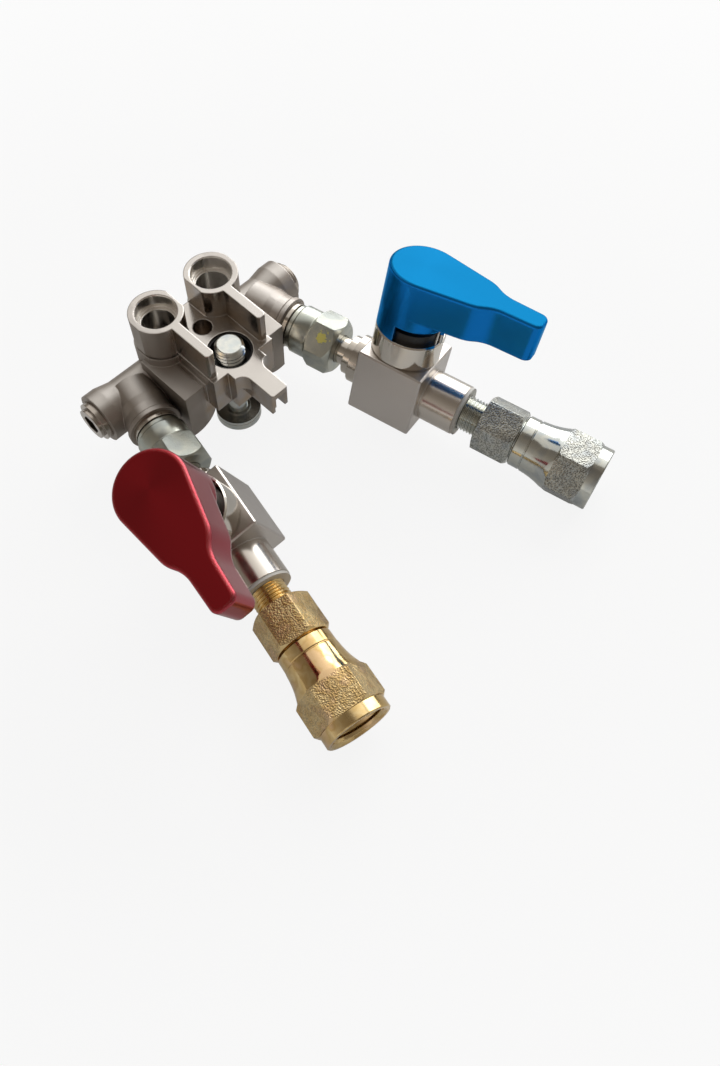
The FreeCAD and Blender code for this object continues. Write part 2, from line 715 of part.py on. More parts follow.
def block_solids():
    """All that is added to make the block."""
    solids = [prism("deck", deck_corners(), -dim.deck_thickness, dim.deck_thickness)]
    pillar = prism("pillar_outline", deck_corners(), -dim.pillar_depth, dim.pillar_depth)
    room = box("pillar_room", (-dim.deck_half_width - 1, -dim.neck_front, -dim.pillar_depth),
               (dim.deck_half_width + 1, dim.deck_back, zero))
    solids.append(common("pillar", [pillar, room]))
    core = box("core_box", (-dim.core_half_width, -dim.core_front, -dim.core_bottom),
               (dim.core_half_width, dim.core_back, -dim.deck_thickness / 2))
    solids.append(rounded("core", core, dim.core_round))
    solids.append(box("tail_walls", (-dim.tail_half_width, -dim.tail_end + dim.tail_corner,
                                     -dim.tail_depth),
                      (dim.tail_half_width, -dim.neck_front, zero)))
    half = dim.rib_thickness / 2
    for colour, side in SIDES:
        middle = dim.rib_offset * side
        outer, inner = middle + half * side, middle - half * side
        front = -dim.rib_front
        corners = [(outer, arm_y), (inner, arm_y), (inner, front + dim.rib_chamfer),
                   (inner + dim.rib_chamfer * side, front), (outer - dim.rib_chamfer * side, front),
                   (outer, front + dim.rib_chamfer)]
        solids.append(prism("rib_" + colour, corners, -dim.deck_thickness / 2,
                            dim.port_top + dim.deck_thickness / 2))
        solids.append(web(side, "web_" + colour))
        solids.append(port(side, "port_" + colour))
        solids.append(arm(side, "arm_" + colour))
        boss = Turned("hose_boss_" + colour, boss_profile())
        boss.body.Placement = level_line_placement(side)
        solids.append(boss.body)
    return solids


def block_passages():
    """All that is bored or milled out of the block."""
    tools = []
    reach = dim.port_bore_depth
    for colour, side in SIDES:
        x = dim.port_offset * side
        axis = "X" if side > 0 else "-X"
        tools.append(cylinder("bore_" + colour, dim.port_bore_radius, reach + 1,
                              (x, arm_y, dim.port_top - reach)))
        tools.append(cone("mouth_" + colour, dim.port_bore_radius,
                          dim.port_bore_radius + dim.port_mouth_chamfer * 2,
                          dim.port_mouth_chamfer * 2, (x, arm_y, dim.port_top - dim.port_mouth_chamfer)))
        tools.append(cylinder("pipe_" + colour, dim.port_pipe_radius, dim.port_top + dim.arm_drop,
                              (x, arm_y, arm_z)))
        start = dim.port_offset - dim.port_pipe_radius * 0.7
        tools.append(cylinder("chamber_" + colour, dim.arm_bore_radius, dim.arm_end - start + 1,
                              (start * side, arm_y, arm_z), axis))
        tools.append(cylinder("plug_bore_" + colour, dim.plug_thread_radius, dim.plug_thread_length + 1,
                              ((dim.arm_end - dim.plug_thread_length) * side, arm_y, arm_z), axis))
        line = cylinder("line_bore_" + colour, dim.line_bore_radius, dim.boss_end + 1,
                        (zero, zero, zero), "X")
        thread = cylinder("stub_bore_" + colour, dim.stub_thread_radius, dim.stub_thread_length + 1,
                          (dim.boss_end - dim.stub_thread_length, zero, zero), "X")
        wire = dim.stub_seal_wire
        seat = cylinder("stub_seal_bore_" + colour, dim.stub_thread_radius + wire * 2, wire * 2 + 1,
                        (dim.boss_end - wire * 2, zero, zero), "X")
        channel = fuse("line_channel_" + colour, [line, thread, seat])
        channel.Placement = level_line_placement(side)
        tools.append(channel)
    tools.append(cylinder("locating_hole", dim.locating_radius, dim.locating_depth + 1,
                          (zero, zero, -dim.locating_depth)))
    tools.append(cylinder("bolt_recess", dim.recess_radius, dim.recess_depth + 1,
                          (zero, bolt_y, -dim.recess_depth)))
    tools.append(cylinder("bolt_hole", dim.bolt_radius + dim.bolt_hole_clearance, dim.pillar_depth + 1,
                          (zero, bolt_y, -dim.pillar_depth - 1)))
    inside = dim.tail_half_width - dim.tail_wall
    tools.append(box("tail_channel", (-inside, -dim.tail_end - 1, -dim.tail_depth - 1),
                     (inside, -dim.neck_front, -dim.tail_top)))
    return tools


keep("manifold_block", cut("block", fuse("block_body", block_solids()),
                           fuse("block_voids", block_passages())))


# Fastening bolt

UPRIGHT = FreeCAD.Rotation(Vector(0, 1, 0), -90)


def bolt_placement():
    """Frame of the bolt, its x axis upwards."""
    return FreeCAD.Placement(Vector(0, bolt_y.value, 0), UPRIGHT)


def build_bolt():
    """Bolt, washer and retaining cup."""
    washer_top = -dim.pillar_depth - dim.bolt_travel - dim.bolt_seat_gap
    head = washer_top - dim.washer_thickness
    foot = head - dim.bolt_head_length
    tip = dim.bolt_point
    floor = dim.retainer_floor - dim.recess_depth
    thread = floor + dim.bolt_thread_gap
    bolt = Turned("mount_bolt", [
        (foot, zero), (foot, dim.bolt_foot_radius), (foot + dim.bolt_foot_length, dim.bolt_head_radius),
        (head, dim.bolt_head_radius), (head, dim.bolt_shank_radius), (thread, dim.bolt_shank_radius),
        (thread, dim.bolt_radius), (tip - dim.bolt_point_chamfer, dim.bolt_radius),
        (tip, dim.bolt_radius - dim.bolt_point_chamfer), (tip, zero),
    ])
    bolt.cut_socket(dim.bolt_socket_flats, foot, dim.bolt_socket_depth, forwards=True)
    keep("mount_bolt", bolt.body, bolt_placement())

    bore = dim.bolt_shank_radius + dim.washer_clearance
    rim = washer_top + dim.washer_hub_height
    washer = Turned("bolt_washer", [
        (head, bore), (head, dim.bolt_head_radius), (washer_top, dim.bolt_head_radius),
        (washer_top, dim.washer_hub_radius), (rim, dim.washer_hub_radius), (rim, bore),
    ])
    keep("bolt_washer", washer.body, bolt_placement())

    bore = dim.bolt_shank_radius + dim.retainer_clearance
    inside = dim.recess_radius - dim.retainer_wall
    ring = Turned("bolt_retainer", [
        (-dim.recess_depth, bore), (-dim.recess_depth, dim.recess_radius),
        (-dim.retainer_drop, dim.recess_radius),
        (-dim.retainer_drop, inside), (floor, inside), (floor, bore),
    ])
    keep("bolt_retainer", ring.body, bolt_placement())


# Plugs and screens in the arms

def arm_placement(side):
    """Frame of an arm, x outwards along it."""
    rotation = FreeCAD.Rotation() if side > 0 else FreeCAD.Rotation(Vector(0, 0, 1), 180)
    return FreeCAD.Placement(Vector(0, arm_y.value, arm_z.value), rotation)


def seal_ring(label, station, middle, wire):
    """A round-section ring about the X axis of its frame."""
    ring = doc.addObject("Part::Torus", label)
    bind(ring, "Radius1", middle)
    bind(ring, "Radius2", wire)
    ring.Placement.Rotation = TURN_TO["X"]
    place(ring, (station, zero, zero))
    holder = doc.addObject("Part::Compound", label + "_held")
    holder.Links = [ring]
    return holder


def build_arm(colour, side):
    """Plug, seal and screen of one arm."""
    seat = dim.arm_end - dim.plug_thread_length
    wire = dim.plug_seal_wire
    nose = seat + dim.plug_nose_gap
    shoulder = dim.arm_end + dim.plug_shoulder_length
    radius = dim.plug_thread_radius - dim.thread_clearance
    nose_radius = radius - wire * 2
    plug = Turned("filter_plug_" + colour, [
        (nose, zero), (nose, nose_radius), (seat + wire * 2, nose_radius), (seat + wire * 2, radius),
        (shoulder, radius), (shoulder, dim.plug_head_radius),
        (shoulder + dim.plug_head_length, dim.plug_head_radius), (shoulder + dim.plug_head_length, zero),
    ])
    plug.cut_socket(dim.plug_socket_flats, shoulder + dim.plug_head_length, dim.plug_socket_depth)
    keep("filter_plug_" + colour, plug.body, arm_placement(side))
    keep("plug_oring_" + colour, seal_ring("plug_oring_" + colour, seat + wire, nose_radius + wire, wire),
         arm_placement(side))
    bore = dim.screen_radius - dim.screen_wall
    start = seat - dim.screen_length
    screen = Turned("filter_screen_" + colour, [
        (start, bore), (start, dim.screen_radius), (seat - dim.screen_rim, dim.screen_radius),
        (seat - dim.screen_rim, dim.screen_rim_radius), (seat, dim.screen_rim_radius), (seat, bore),
    ])
    keep("filter_screen_" + colour, screen.body, arm_placement(side))


# Lines

def build_union(colour, frame):
    """Stub, its seal and the union nut."""
    bore = dim.line_bore_radius
    start = dim.boss_end - dim.stub_thread_length
    flange = at.stub_flange_end
    spigot = dim.stub_thread_radius - dim.thread_clearance
    stub = Turned("line_stub_" + colour, [
        (start, bore), (start, spigot), (dim.boss_end, spigot), (dim.boss_end, dim.stub_flange_radius),
        (flange, dim.stub_flange_radius), (flange, dim.stub_nose_radius),
        (at.stub_nose_end, dim.stub_nose_radius),
        (at.stub_nose_end, bore),
    ])
    keep("line_stub_" + colour, stub.body, frame)
    wire = dim.stub_seal_wire
    keep("stub_oring_" + colour, seal_ring("stub_oring_" + colour, dim.boss_end - wire,
                                           dim.stub_thread_radius + wire, wire), frame)
    wall = at.tail_head_end
    inside = dim.stub_nose_radius + dim.thread_clearance
    corner = dim.union_flats * CORNER
    hole = dim.tail_neck_radius + dim.thread_clearance
    nut = Turned("union_nut_" + colour, [
        (at.union_start, inside), (at.union_start, dim.union_collar_radius),
        (at.union_collar_end, dim.union_collar_radius), (at.union_collar_end, corner),
        (at.union_end - dim.hexagon_chamfer, corner), (at.union_end, dim.union_flats / 2),
        (at.union_end, hole), (wall, hole), (wall, inside),
    ])
    turn = dim.union_blue_angle if colour == "blue" else dim.union_red_angle
    nut.cut_hexagon(dim.union_flats, at.union_collar_end, at.union_end, turn.value)
    keep("union_nut_" + colour, nut.body, frame)


def build_inlet(colour, frame):
    """Inlet fitting of a valve."""
    bore = dim.line_bore_radius
    head = at.tail_head_end
    spigot = dim.ball_radius + dim.chamber_clearance - dim.fit_gap
    seat = at.stem - dim.seat_start - dim.seat_thickness
    tail = Turned("valve_tail_" + colour, [
        (head - dim.tail_head_length, bore), (head - dim.tail_head_length, dim.tail_head_radius),
        (head, dim.tail_head_radius), (head, dim.tail_neck_radius), (at.tail_step, dim.tail_neck_radius),
        (at.tail_step, dim.tail_step_radius), (at.tail_flange, dim.tail_step_radius),
        (at.tail_flange, dim.tail_flange_radius), (at.body_start, dim.tail_flange_radius),
        (at.body_start, spigot), (seat, spigot), (seat, bore),
    ])
    keep("valve_tail_" + colour, tail.body, frame)


def build_body(colour, frame):
    """Square valve body with its outlet boss and all its bores."""
    end = at.body_end
    block = box("body_block_" + colour, (at.body_start, -dim.body_half_width, -dim.body_below),
                (end, dim.body_half_width, dim.body_above))
    doc.recompute()
    bevel = doc.addObject("Part::Chamfer", "body_bevel_" + colour)
    bevel.Base = block
    bevel.Edges = [(number, dim.body_edge.value, dim.body_edge.value) for number in range(1, 13)]
    boss_end = at.outlet_end - dim.outlet_seal_length
    boss = cylinder("outlet_boss_" + colour, dim.outlet_radius, boss_end - end + 2,
                    (end - 2, zero, zero), "X")
    chamber = dim.ball_radius + dim.chamber_clearance
    chamber_end = at.stem + dim.seat_start + dim.seat_thickness
    thread = dim.adapter_thread_radius + dim.thread_clearance
    well = dim.stem_collar_radius + dim.stem_well_clearance
    shelf = dim.bonnet_thread_bottom - dim.fit_gap
    tools = [
        cylinder("ball_chamber_" + colour, chamber, chamber_end - at.body_start + 1,
                 (at.body_start - 1, zero, zero), "X"),
        cylinder("outlet_bore_" + colour, dim.line_bore_radius, at.outlet_end - at.stem,
                 (at.stem, zero, zero), "X"),
        cylinder("outlet_thread_" + colour, thread, dim.adapter_thread_length + dim.adapter_thread_gap,
                 (at.adapter_end - dim.adapter_thread_gap, zero, zero), "X"),
        cylinder("stem_well_" + colour, well, dim.body_above, (at.stem, zero, zero)),
        cylinder("bonnet_thread_" + colour, dim.bonnet_thread_radius, dim.body_above,
                 (at.stem, zero, shelf)),
    ]
    body = cut("valve_body_" + colour, fuse("body_mass_" + colour, [bevel, boss]),
               fuse("body_bores_" + colour, tools))
    keep("valve_body_" + colour, body, frame)


def build_ball(colour, frame):
    """Ball and its two seats."""
    middle = (at.stem, zero, zero)
    ball = doc.addObject("Part::Sphere", "ball_solid_" + colour)
    bind(ball, "Radius", dim.ball_radius)
    place(ball, middle)
    reach = dim.ball_radius + 1
    bore = cylinder("ball_bore_" + colour, dim.line_bore_radius, reach * 2,
                    (at.stem - reach, zero, zero), "X")
    half = dim.tang_thickness / 2 + dim.stem_clearance
    slot = box("ball_slot_" + colour, (at.stem - half, -reach, dim.ball_radius - dim.tang_depth),
               (at.stem + half, reach, reach))
    keep("valve_ball_" + colour, cut("valve_ball_" + colour, ball, fuse("ball_cuts_" + colour,
                                                                        [bore, slot])), frame)

    outer = dim.ball_radius + dim.chamber_clearance - dim.fit_gap
    for name, start in (("inlet_seat_", at.stem - dim.seat_start - dim.seat_thickness),
                        ("outlet_seat_", at.stem + dim.seat_start)):
        ring = cylinder(name + "ring_" + colour, outer, dim.seat_thickness, (start, zero, zero), "X")
        hole = cylinder(name + "hole_" + colour, dim.line_bore_radius, dim.seat_thickness + 2,
                        (start - 1, zero, zero), "X")
        relief = doc.addObject("Part::Sphere", name + "relief_" + colour)
        bind(relief, "Radius", dim.ball_radius + dim.ball_clearance)
        place(relief, middle)
        keep(name + colour, cut(name + colour, ring, fuse(name + "cuts_" + colour, [hole, relief])), frame)


def stem_frame(frame):
    """Frame of the stem, its x axis upwards from the line's axis."""
    return frame.multiply(FreeCAD.Placement(Vector(at.stem.value, 0, 0), UPRIGHT))


def build_stem(colour, frame, side):
    """Stem, its seal, bonnet, black ring and stop pins."""
    upright = stem_frame(frame)
    wire = dim.stem_oring_wire
    collar_end = dim.stem_collar_start + dim.stem_collar_length
    groove_radius = dim.stem_radius + dim.stem_clearance / 2 - wire * 2
    groove = (dim.bonnet_thread_bottom + dim.bonnet_top) / 2
    half_groove = wire + 0.1
    stem = Turned("valve_stem_" + colour, [
        (dim.ball_radius - dim.tang_depth + 0.1, zero),
        (dim.ball_radius - dim.tang_depth + 0.1, dim.stem_radius), (dim.stem_collar_start, dim.stem_radius),
        (dim.stem_collar_start, dim.stem_collar_radius), (collar_end, dim.stem_collar_radius),
        (collar_end, dim.stem_radius), (groove - half_groove, dim.stem_radius),
        (groove - half_groove, groove_radius), (groove + half_groove, groove_radius),
        (groove + half_groove, dim.stem_radius), (dim.stem_square_top, dim.stem_radius),
        (dim.stem_square_top, zero),
    ])
    half = dim.square_flats / 2
    sketch = stem.sketch("square", "YZ_Plane", dim.stem_square_top)
    draw_loop(sketch, [(half, half), (-half, half), (-half, -half), (half, -half)])
    draw_circle(sketch, zero, zero, dim.stem_radius + 1)
    stem.pocket("square_milling", sketch, dim.stem_square_top - dim.stem_square_start)
    tang = dim.tang_thickness / 2
    reach = dim.stem_radius + 1
    sketch = stem.sketch("tang", "YZ_Plane", dim.stem_collar_start)
    for low, high in ((tang, reach), (-reach, -tang)):
        draw_loop(sketch, [(-reach, low), (reach, low), (reach, high), (-reach, high)])
    stem.pocket("tang_milling", sketch, dim.stem_collar_start)
    keep("valve_stem_" + colour, stem.body, upright)
    keep("stem_oring_" + colour, seal_ring("stem_oring_" + colour, groove, groove_radius + wire,
                                           wire), upright)

    bore = dim.stem_radius + dim.stem_clearance
    rim = dim.bonnet_radius - dim.bonnet_chamfer
    bonnet = Turned("stem_bonnet_" + colour, [
        (dim.bonnet_thread_bottom, bore),
        (dim.bonnet_thread_bottom, dim.bonnet_thread_radius - dim.fit_gap),
        (dim.body_above, dim.bonnet_thread_radius - dim.fit_gap), (dim.body_above, rim),
        (dim.body_above + dim.bonnet_chamfer, dim.bonnet_radius),
        (dim.bonnet_top - dim.bonnet_chamfer, dim.bonnet_radius), (dim.bonnet_top, rim),
        (dim.bonnet_top, bore),
    ])
    holes = bonnet.sketch("pin_holes", "YZ_Plane", dim.bonnet_top)
    pins = []
    for angle in (-dim.stop_lead_angle, dim.quarter_turn_angle + dim.stop_lead_angle):
        # the body's z axis points against the line, its y axis across it
        across = dim.pin_circle * angle.sine() * side
        along = dim.pin_circle * angle.cosine()
        draw_circle(holes, across, -along, dim.pin_radius)
        pins.append(cylinder("pin_%s_%d" % (colour, len(pins)), dim.pin_radius,
                             dim.pin_sunk + dim.pin_height,
                             (dim.bonnet_top - dim.pin_sunk, across, -along), "X"))
    bonnet.pocket("pin_drilling", holes, dim.pin_sunk)
    keep("stem_bonnet_" + colour, bonnet.body, upright)
    pair = doc.addObject("Part::Compound", "stop_pins_" + colour)
    pair.Links = pins
    keep("stop_pins_" + colour, pair, upright)

    ring = Turned("stem_ring_" + colour, [
        (dim.bonnet_top, dim.ring_hole_radius), (dim.bonnet_top, dim.ring_radius),
        (dim.bonnet_top + dim.ring_height, dim.ring_radius),
        (dim.bonnet_top + dim.ring_height, dim.ring_hole_radius),
    ])
    keep("stem_ring_" + colour, ring.body, upright)


# Handle

def lever_corners():
    """Outline of the handle from above, mirrored about its length, with every join smooth."""
    taper = dim.lever_taper_angle
    slope = dim.lever_bend_angle
    end_taper = dim.lever_tip_angle
    radius = dim.hub_radius
    bend = dim.lever_bend
    corner = dim.lever_corner
    shoulder = dim.lever_straight
    shoulder_half = (radius - shoulder * taper.sine()) / taper.cosine()
    middle = shoulder + bend * (slope.sine() - taper.sine())
    middle_half = shoulder_half - bend * (taper.cosine() - slope.cosine())
    neck = middle + bend * (slope.sine() - end_taper.sine())
    neck_half = middle_half - bend * (end_taper.cosine() - slope.cosine())
    turn = dim.lever_tip - corner + corner * end_taper.sine()
    turn_half = neck_half - (turn - neck) * end_taper.sine() / end_taper.cosine()
    half = [
        (radius * taper.sine(), radius * taper.cosine()),
        (shoulder, shoulder_half),
        (middle, middle_half, bend, -1),
        (neck, neck_half, bend, 1),
        (turn, turn_half),
        (dim.lever_tip, turn_half - corner * end_taper.cosine(), corner, -1),
    ]
    other = []
    for number, point in enumerate(reversed(half)):
        before = half[len(half) - number] if number else ()
        arc = before[2:] if len(before) == 4 else ()
        other.append((point[0], -point[1]) + tuple(arc))
    # the round head closes the loop
    back = [(-radius, zero, radius, -1)]
    first = (half[0][0], half[0][1], radius, -1)
    return [first] + half[1:] + other + back


def build_handle(colour, frame, side):
    """Lever with a solid hub, a skirt open in front, a blind square socket and a grub screw."""
    label = "handle_" + colour
    body = doc.addObject("PartDesign::Body", label)
    upper = frame.multiply(FreeCAD.Placement(Vector(at.stem.value, 0, 0), FreeCAD.Rotation()))

    def sketch_at(name, role, offset):
        sketch = body.newObject("Sketcher::SketchObject", "%s_%s" % (label, name))
        sketch.AttachmentSupport = (origin_plane(body, role), "")
        sketch.MapMode = "FlatFace"
        sketch.AttachmentOffset = FreeCAD.Placement(Vector(0, 0, offset.value), FreeCAD.Rotation())
        sketch.setExpression("AttachmentOffset.Base.z", offset.text)
        return sketch

    def feature(kind, name, sketch, length, turned=False):
        item = body.newObject("PartDesign::" + kind, "%s_%s" % (label, name))
        item.Profile = sketch
        item.Reversed = turned
        bind(item, "Length", length)
        return item

    bottom = dim.bonnet_top + dim.handle_gap
    lever = sketch_at("lever", "XY_Plane", dim.handle_top - dim.arm_depth)
    draw_loop(lever, lever_corners())
    feature("Pad", "lever_pad", lever, dim.arm_depth)
    hub = sketch_at("hub", "XY_Plane", bottom)
    draw_circle(hub, zero, zero, dim.hub_radius)
    solid = feature("Pad", "hub_pad", hub, dim.handle_top - dim.arm_depth - bottom + 1)
    doc.recompute()

    top = dim.handle_top.value
    names = ["Edge%d" % number for number, edge in enumerate(solid.Shape.Edges, start=1)
             if all(abs(vertex.Z - top) < 1e-6 for vertex in edge.Vertexes) and abs(edge.CenterOfMass.z - top) < 1e-6]
    fillet = body.newObject("PartDesign::Fillet", label + "_edge")
    fillet.Base = (solid, names)
    bind(fillet, "Radius", dim.handle_edge)

    hollow = sketch_at("hollow", "XY_Plane", bottom)
    draw_circle(hollow, zero, zero, dim.skirt_inner_radius)
    feature("Pocket", "hollow_pocket", hollow, dim.skirt_height, True)

    opening = sketch_at("opening", "XY_Plane", bottom)
    angle = dim.quarter_turn_angle + dim.stop_margin_angle
    reach = dim.hub_radius * 2
    draw_loop(opening, [(zero, zero), (reach * angle.cosine(), reach * angle.sine()),
                        (reach, reach * angle.sine()), (reach, -reach * angle.sine()),
                        (reach * angle.cosine(), -(reach * angle.sine()))])
    feature("Pocket", "opening_pocket", opening, dim.skirt_height, True)

    socket = sketch_at("socket", "XY_Plane", bottom)
    half = dim.square_flats / 2 + dim.socket_clearance
    draw_loop(socket, [(half, half), (-half, half), (-half, -half), (half, -half)])
    feature("Pocket", "socket_pocket", socket, dim.stem_square_top + 0.2 - bottom, True)
    clearance = sketch_at("clearance", "XY_Plane", bottom)
    draw_circle(clearance, zero, zero, dim.stem_radius + dim.socket_clearance)
    feature("Pocket", "clearance_pocket", clearance, dim.stem_square_start + 0.2 - bottom, True)

    hole = sketch_at("screw_hole", "YZ_Plane", -(dim.hub_radius + 1))
    draw_circle(hole, zero, dim.screw_height, dim.screw_radius)
    feature("Pocket", "screw_pocket", hole, dim.hub_radius + 1 - dim.square_flats / 2, True)
    keep(label, body, upper)

    outer = -(dim.hub_radius - dim.screw_inset)
    inner = -(dim.square_flats / 2)
    radius = dim.screw_radius - dim.thread_clearance
    screw = Turned("handle_screw_" + colour, [(outer, zero), (outer, radius), (inner, radius),
                                              (inner, zero)])
    screw.cut_socket(dim.screw_socket_flats, outer, dim.screw_radius, forwards=True)
    lift = FreeCAD.Placement(Vector(0, 0, dim.screw_height.value), FreeCAD.Rotation())
    keep("handle_screw_" + colour, screw.body, upper.multiply(lift))


# Hose end

def build_hose_end(colour, frame):
    """White ring, adapter, retaining wire and swivel nut."""
    bore = dim.line_bore_radius
    start = at.adapter_end
    thread = dim.adapter_thread_radius
    seal = Turned("outlet_seal_" + colour, [
        (at.outlet_end - dim.outlet_seal_length, thread + dim.thread_clearance),
        (at.outlet_end - dim.outlet_seal_length, dim.outlet_seal_radius),
        (at.outlet_end, dim.outlet_seal_radius),
        (at.outlet_end, thread + dim.thread_clearance),
    ])
    keep("outlet_seal_" + colour, seal.body, frame)

    corner = dim.adapter_flats * CORNER
    groove = dim.adapter_neck_radius + dim.nut_bore_clearance / 2
    wire = dim.wire_radius
    adapter = Turned("hose_adapter_" + colour, [
        (start, bore), (start, thread), (at.adapter_hexagon, thread),
        (at.adapter_hexagon, dim.adapter_flats / 2), (at.adapter_hexagon + dim.hexagon_chamfer, corner),
        (at.adapter_hexagon_end - dim.hexagon_chamfer, corner),
        (at.adapter_hexagon_end, dim.adapter_flats / 2),
        (at.adapter_hexagon_end, dim.adapter_neck_radius), (at.wire - wire, dim.adapter_neck_radius),
        (at.wire - wire, groove - wire), (at.wire + wire, groove - wire),
        (at.wire + wire, dim.adapter_neck_radius), (at.adapter_head, dim.adapter_neck_radius),
        (at.adapter_head, dim.adapter_head_radius), (at.adapter_cone, dim.adapter_head_radius),
        (at.nose_end, dim.nose_radius), (at.nose_end, bore),
    ])
    turn = dim.adapter_blue_angle if colour == "blue" else dim.adapter_red_angle
    adapter.cut_hexagon(dim.adapter_flats, at.adapter_hexagon, at.adapter_hexagon_end, turn.value)
    keep("hose_adapter_" + colour, adapter.body, frame)
    keep("nut_wire_" + colour, seal_ring("nut_wire_" + colour, at.wire, groove, wire), frame)

    nut_start = at.nut_start
    hole = dim.adapter_neck_radius + dim.nut_bore_clearance
    corner = dim.nut_flats * CORNER
    room = wire + dim.thread_clearance
    wall = at.adapter_head - dim.nut_head_gap
    collar = at.nut_collar_end
    nut = Turned("hose_nut_" + colour, [
        (nut_start, hole), (nut_start, dim.nut_collar_radius), (collar, dim.nut_collar_radius),
        (at.nut_hexagon, dim.nut_cone_radius), (at.nut_hexagon + dim.hexagon_chamfer, corner),
        (at.nut_hexagon_end - dim.hexagon_chamfer, corner), (at.nut_hexagon_end, dim.nut_lip_radius),
        (at.nut_end, dim.nut_lip_radius), (at.nut_end, dim.nut_thread_radius + dim.nut_mouth_chamfer),
        (at.nut_end - dim.nut_mouth_chamfer, dim.nut_thread_radius), (at.nut_thread, dim.nut_thread_radius),
        (at.nut_thread, dim.nut_relief_radius), (wall, dim.nut_relief_radius), (wall, hole),
        (at.wire + room, hole), (at.wire + room, groove + room),
        (at.wire - room, groove + room), (at.wire - room, hole),
    ])
    turn = dim.nut_blue_angle if colour == "blue" else dim.nut_red_angle
    nut.cut_hexagon(dim.nut_flats, at.nut_hexagon, at.nut_hexagon_end, turn.value)
    keep("hose_nut_" + colour, nut.body, frame)


CORNER = 1 / math.sqrt(3)

build_bolt()
for colour, side in SIDES:
    build_arm(colour, side)
    frame = line_placement(side)
    build_union(colour, frame)
    build_inlet(colour, frame)
    build_body(colour, frame)
    build_ball(colour, frame)
    build_stem(colour, frame, side)
    build_handle(colour, frame, side)
    build_hose_end(colour, frame)
doc.recompute()

for item in doc.Objects:
    if "Invalid" in item.State or "Error" in item.State:
        raise RuntimeError("%s did not recompute: %s" % (item.Label, item.State))

os.makedirs("parts", exist_ok=True)
for label, item in parts.items():
    shape = item.Shape
    if shape.isNull() or not shape.isValid() or not shape.Solids:
        raise RuntimeError("%s has no sound solid" % label)
    shape.exportStep("parts/%s.step" % label)
print("written", len(parts), "parts")
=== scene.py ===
"""Looks of the fluid manifold: its studio, its finishes, and the pieces that show more than the solids do.

Sizes are in millimetres in the part's own frame. Each line also has a frame of its own, read from the joints:
x along the line from the axis of the arm towards the hose, z up its valve stem.
"""
import json
import logging
import math
from dataclasses import dataclass
from enum import Enum
from typing import Optional, Sequence, TypeVar

import bpy
from mathutils import Euler, Matrix, Vector


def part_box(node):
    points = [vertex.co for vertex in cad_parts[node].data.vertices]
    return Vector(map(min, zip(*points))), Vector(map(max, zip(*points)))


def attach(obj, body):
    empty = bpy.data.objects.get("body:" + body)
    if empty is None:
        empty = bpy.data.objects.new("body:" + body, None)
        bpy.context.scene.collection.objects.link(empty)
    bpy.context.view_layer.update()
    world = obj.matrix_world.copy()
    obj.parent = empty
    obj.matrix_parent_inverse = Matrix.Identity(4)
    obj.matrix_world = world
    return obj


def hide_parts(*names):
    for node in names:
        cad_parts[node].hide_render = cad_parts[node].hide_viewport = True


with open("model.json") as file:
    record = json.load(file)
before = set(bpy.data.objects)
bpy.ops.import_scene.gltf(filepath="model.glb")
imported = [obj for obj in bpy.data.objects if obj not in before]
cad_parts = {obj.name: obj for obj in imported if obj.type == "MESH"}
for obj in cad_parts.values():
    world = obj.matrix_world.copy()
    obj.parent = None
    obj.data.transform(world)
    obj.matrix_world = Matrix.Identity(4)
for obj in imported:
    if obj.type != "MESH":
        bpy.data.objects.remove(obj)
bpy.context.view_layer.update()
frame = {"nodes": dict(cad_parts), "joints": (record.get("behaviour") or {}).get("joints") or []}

log = logging.getLogger("fluid_manifold")
Choice = TypeVar("Choice")
MM = 0.001
# height of the photograph, in pixels
PHOTO_HEIGHT = 1066
# station of the stem on its line
STEM_STATION = 48.6
# distance in which a wave texture of scale 1 repeats
WAVE_LENGTH = 0.3142


class Side(Enum):
    """The two lines, by the colour of their handles."""

    BLUE = "blue"
    RED = "red"

    def of(self, pair: Sequence[Choice]) -> Choice:
        """The blue or the red one of a pair."""
        return pair[0] if self is Side.BLUE else pair[1]


class Cut(Enum):
    """How one mesh is cut by another."""

    AWAY = "DIFFERENCE"
    DOWN_TO = "INTERSECT"


# Tools for materials

def linear(code: str) -> tuple[float, float, float, float]:
    """Turns an sRGB hex colour into linear red, green, blue and alpha.

    Args:
        code: the colour, such as "#2a8fd0".
    Returns:
        The linear colour with full alpha.
    """
    channels = [int(code[i:i + 2], 16) / 255 for i in (1, 3, 5)]
    made = [c / 12.92 if c <= 0.04045 else ((c + 0.055) / 1.055) ** 2.4 for c in channels]
    return (made[0], made[1], made[2], 1.0)


def node(tree: bpy.types.NodeTree, kind: str, settings: Optional[dict] = None, sockets: Optional[dict] = None,
         stops: Sequence[tuple[float, str]] = ()) -> bpy.types.Node:
    """Adds one node with its settings and links.

    Args:
        tree: the material's tree.
        kind: the node's type name.
        settings: properties by name.
        sockets: input values or output sockets, by input name or number.
        stops: place and hex colour of each stop of a colour ramp.
    Returns:
        The new node.
    """
    made = tree.nodes.new(kind)
    for name, value in (settings or {}).items():
        setattr(made, name, value)
    for name, value in (sockets or {}).items():
        if isinstance(value, bpy.types.NodeSocket):
            tree.links.new(value, made.inputs[name])
        else:
            made.inputs[name].default_value = value
    for number, (place, code) in enumerate(stops):
        elements = made.color_ramp.elements
        element = elements[number] if number < len(elements) else elements.new(1.0)
        element.position = place
        element.color = linear(code)
    return made


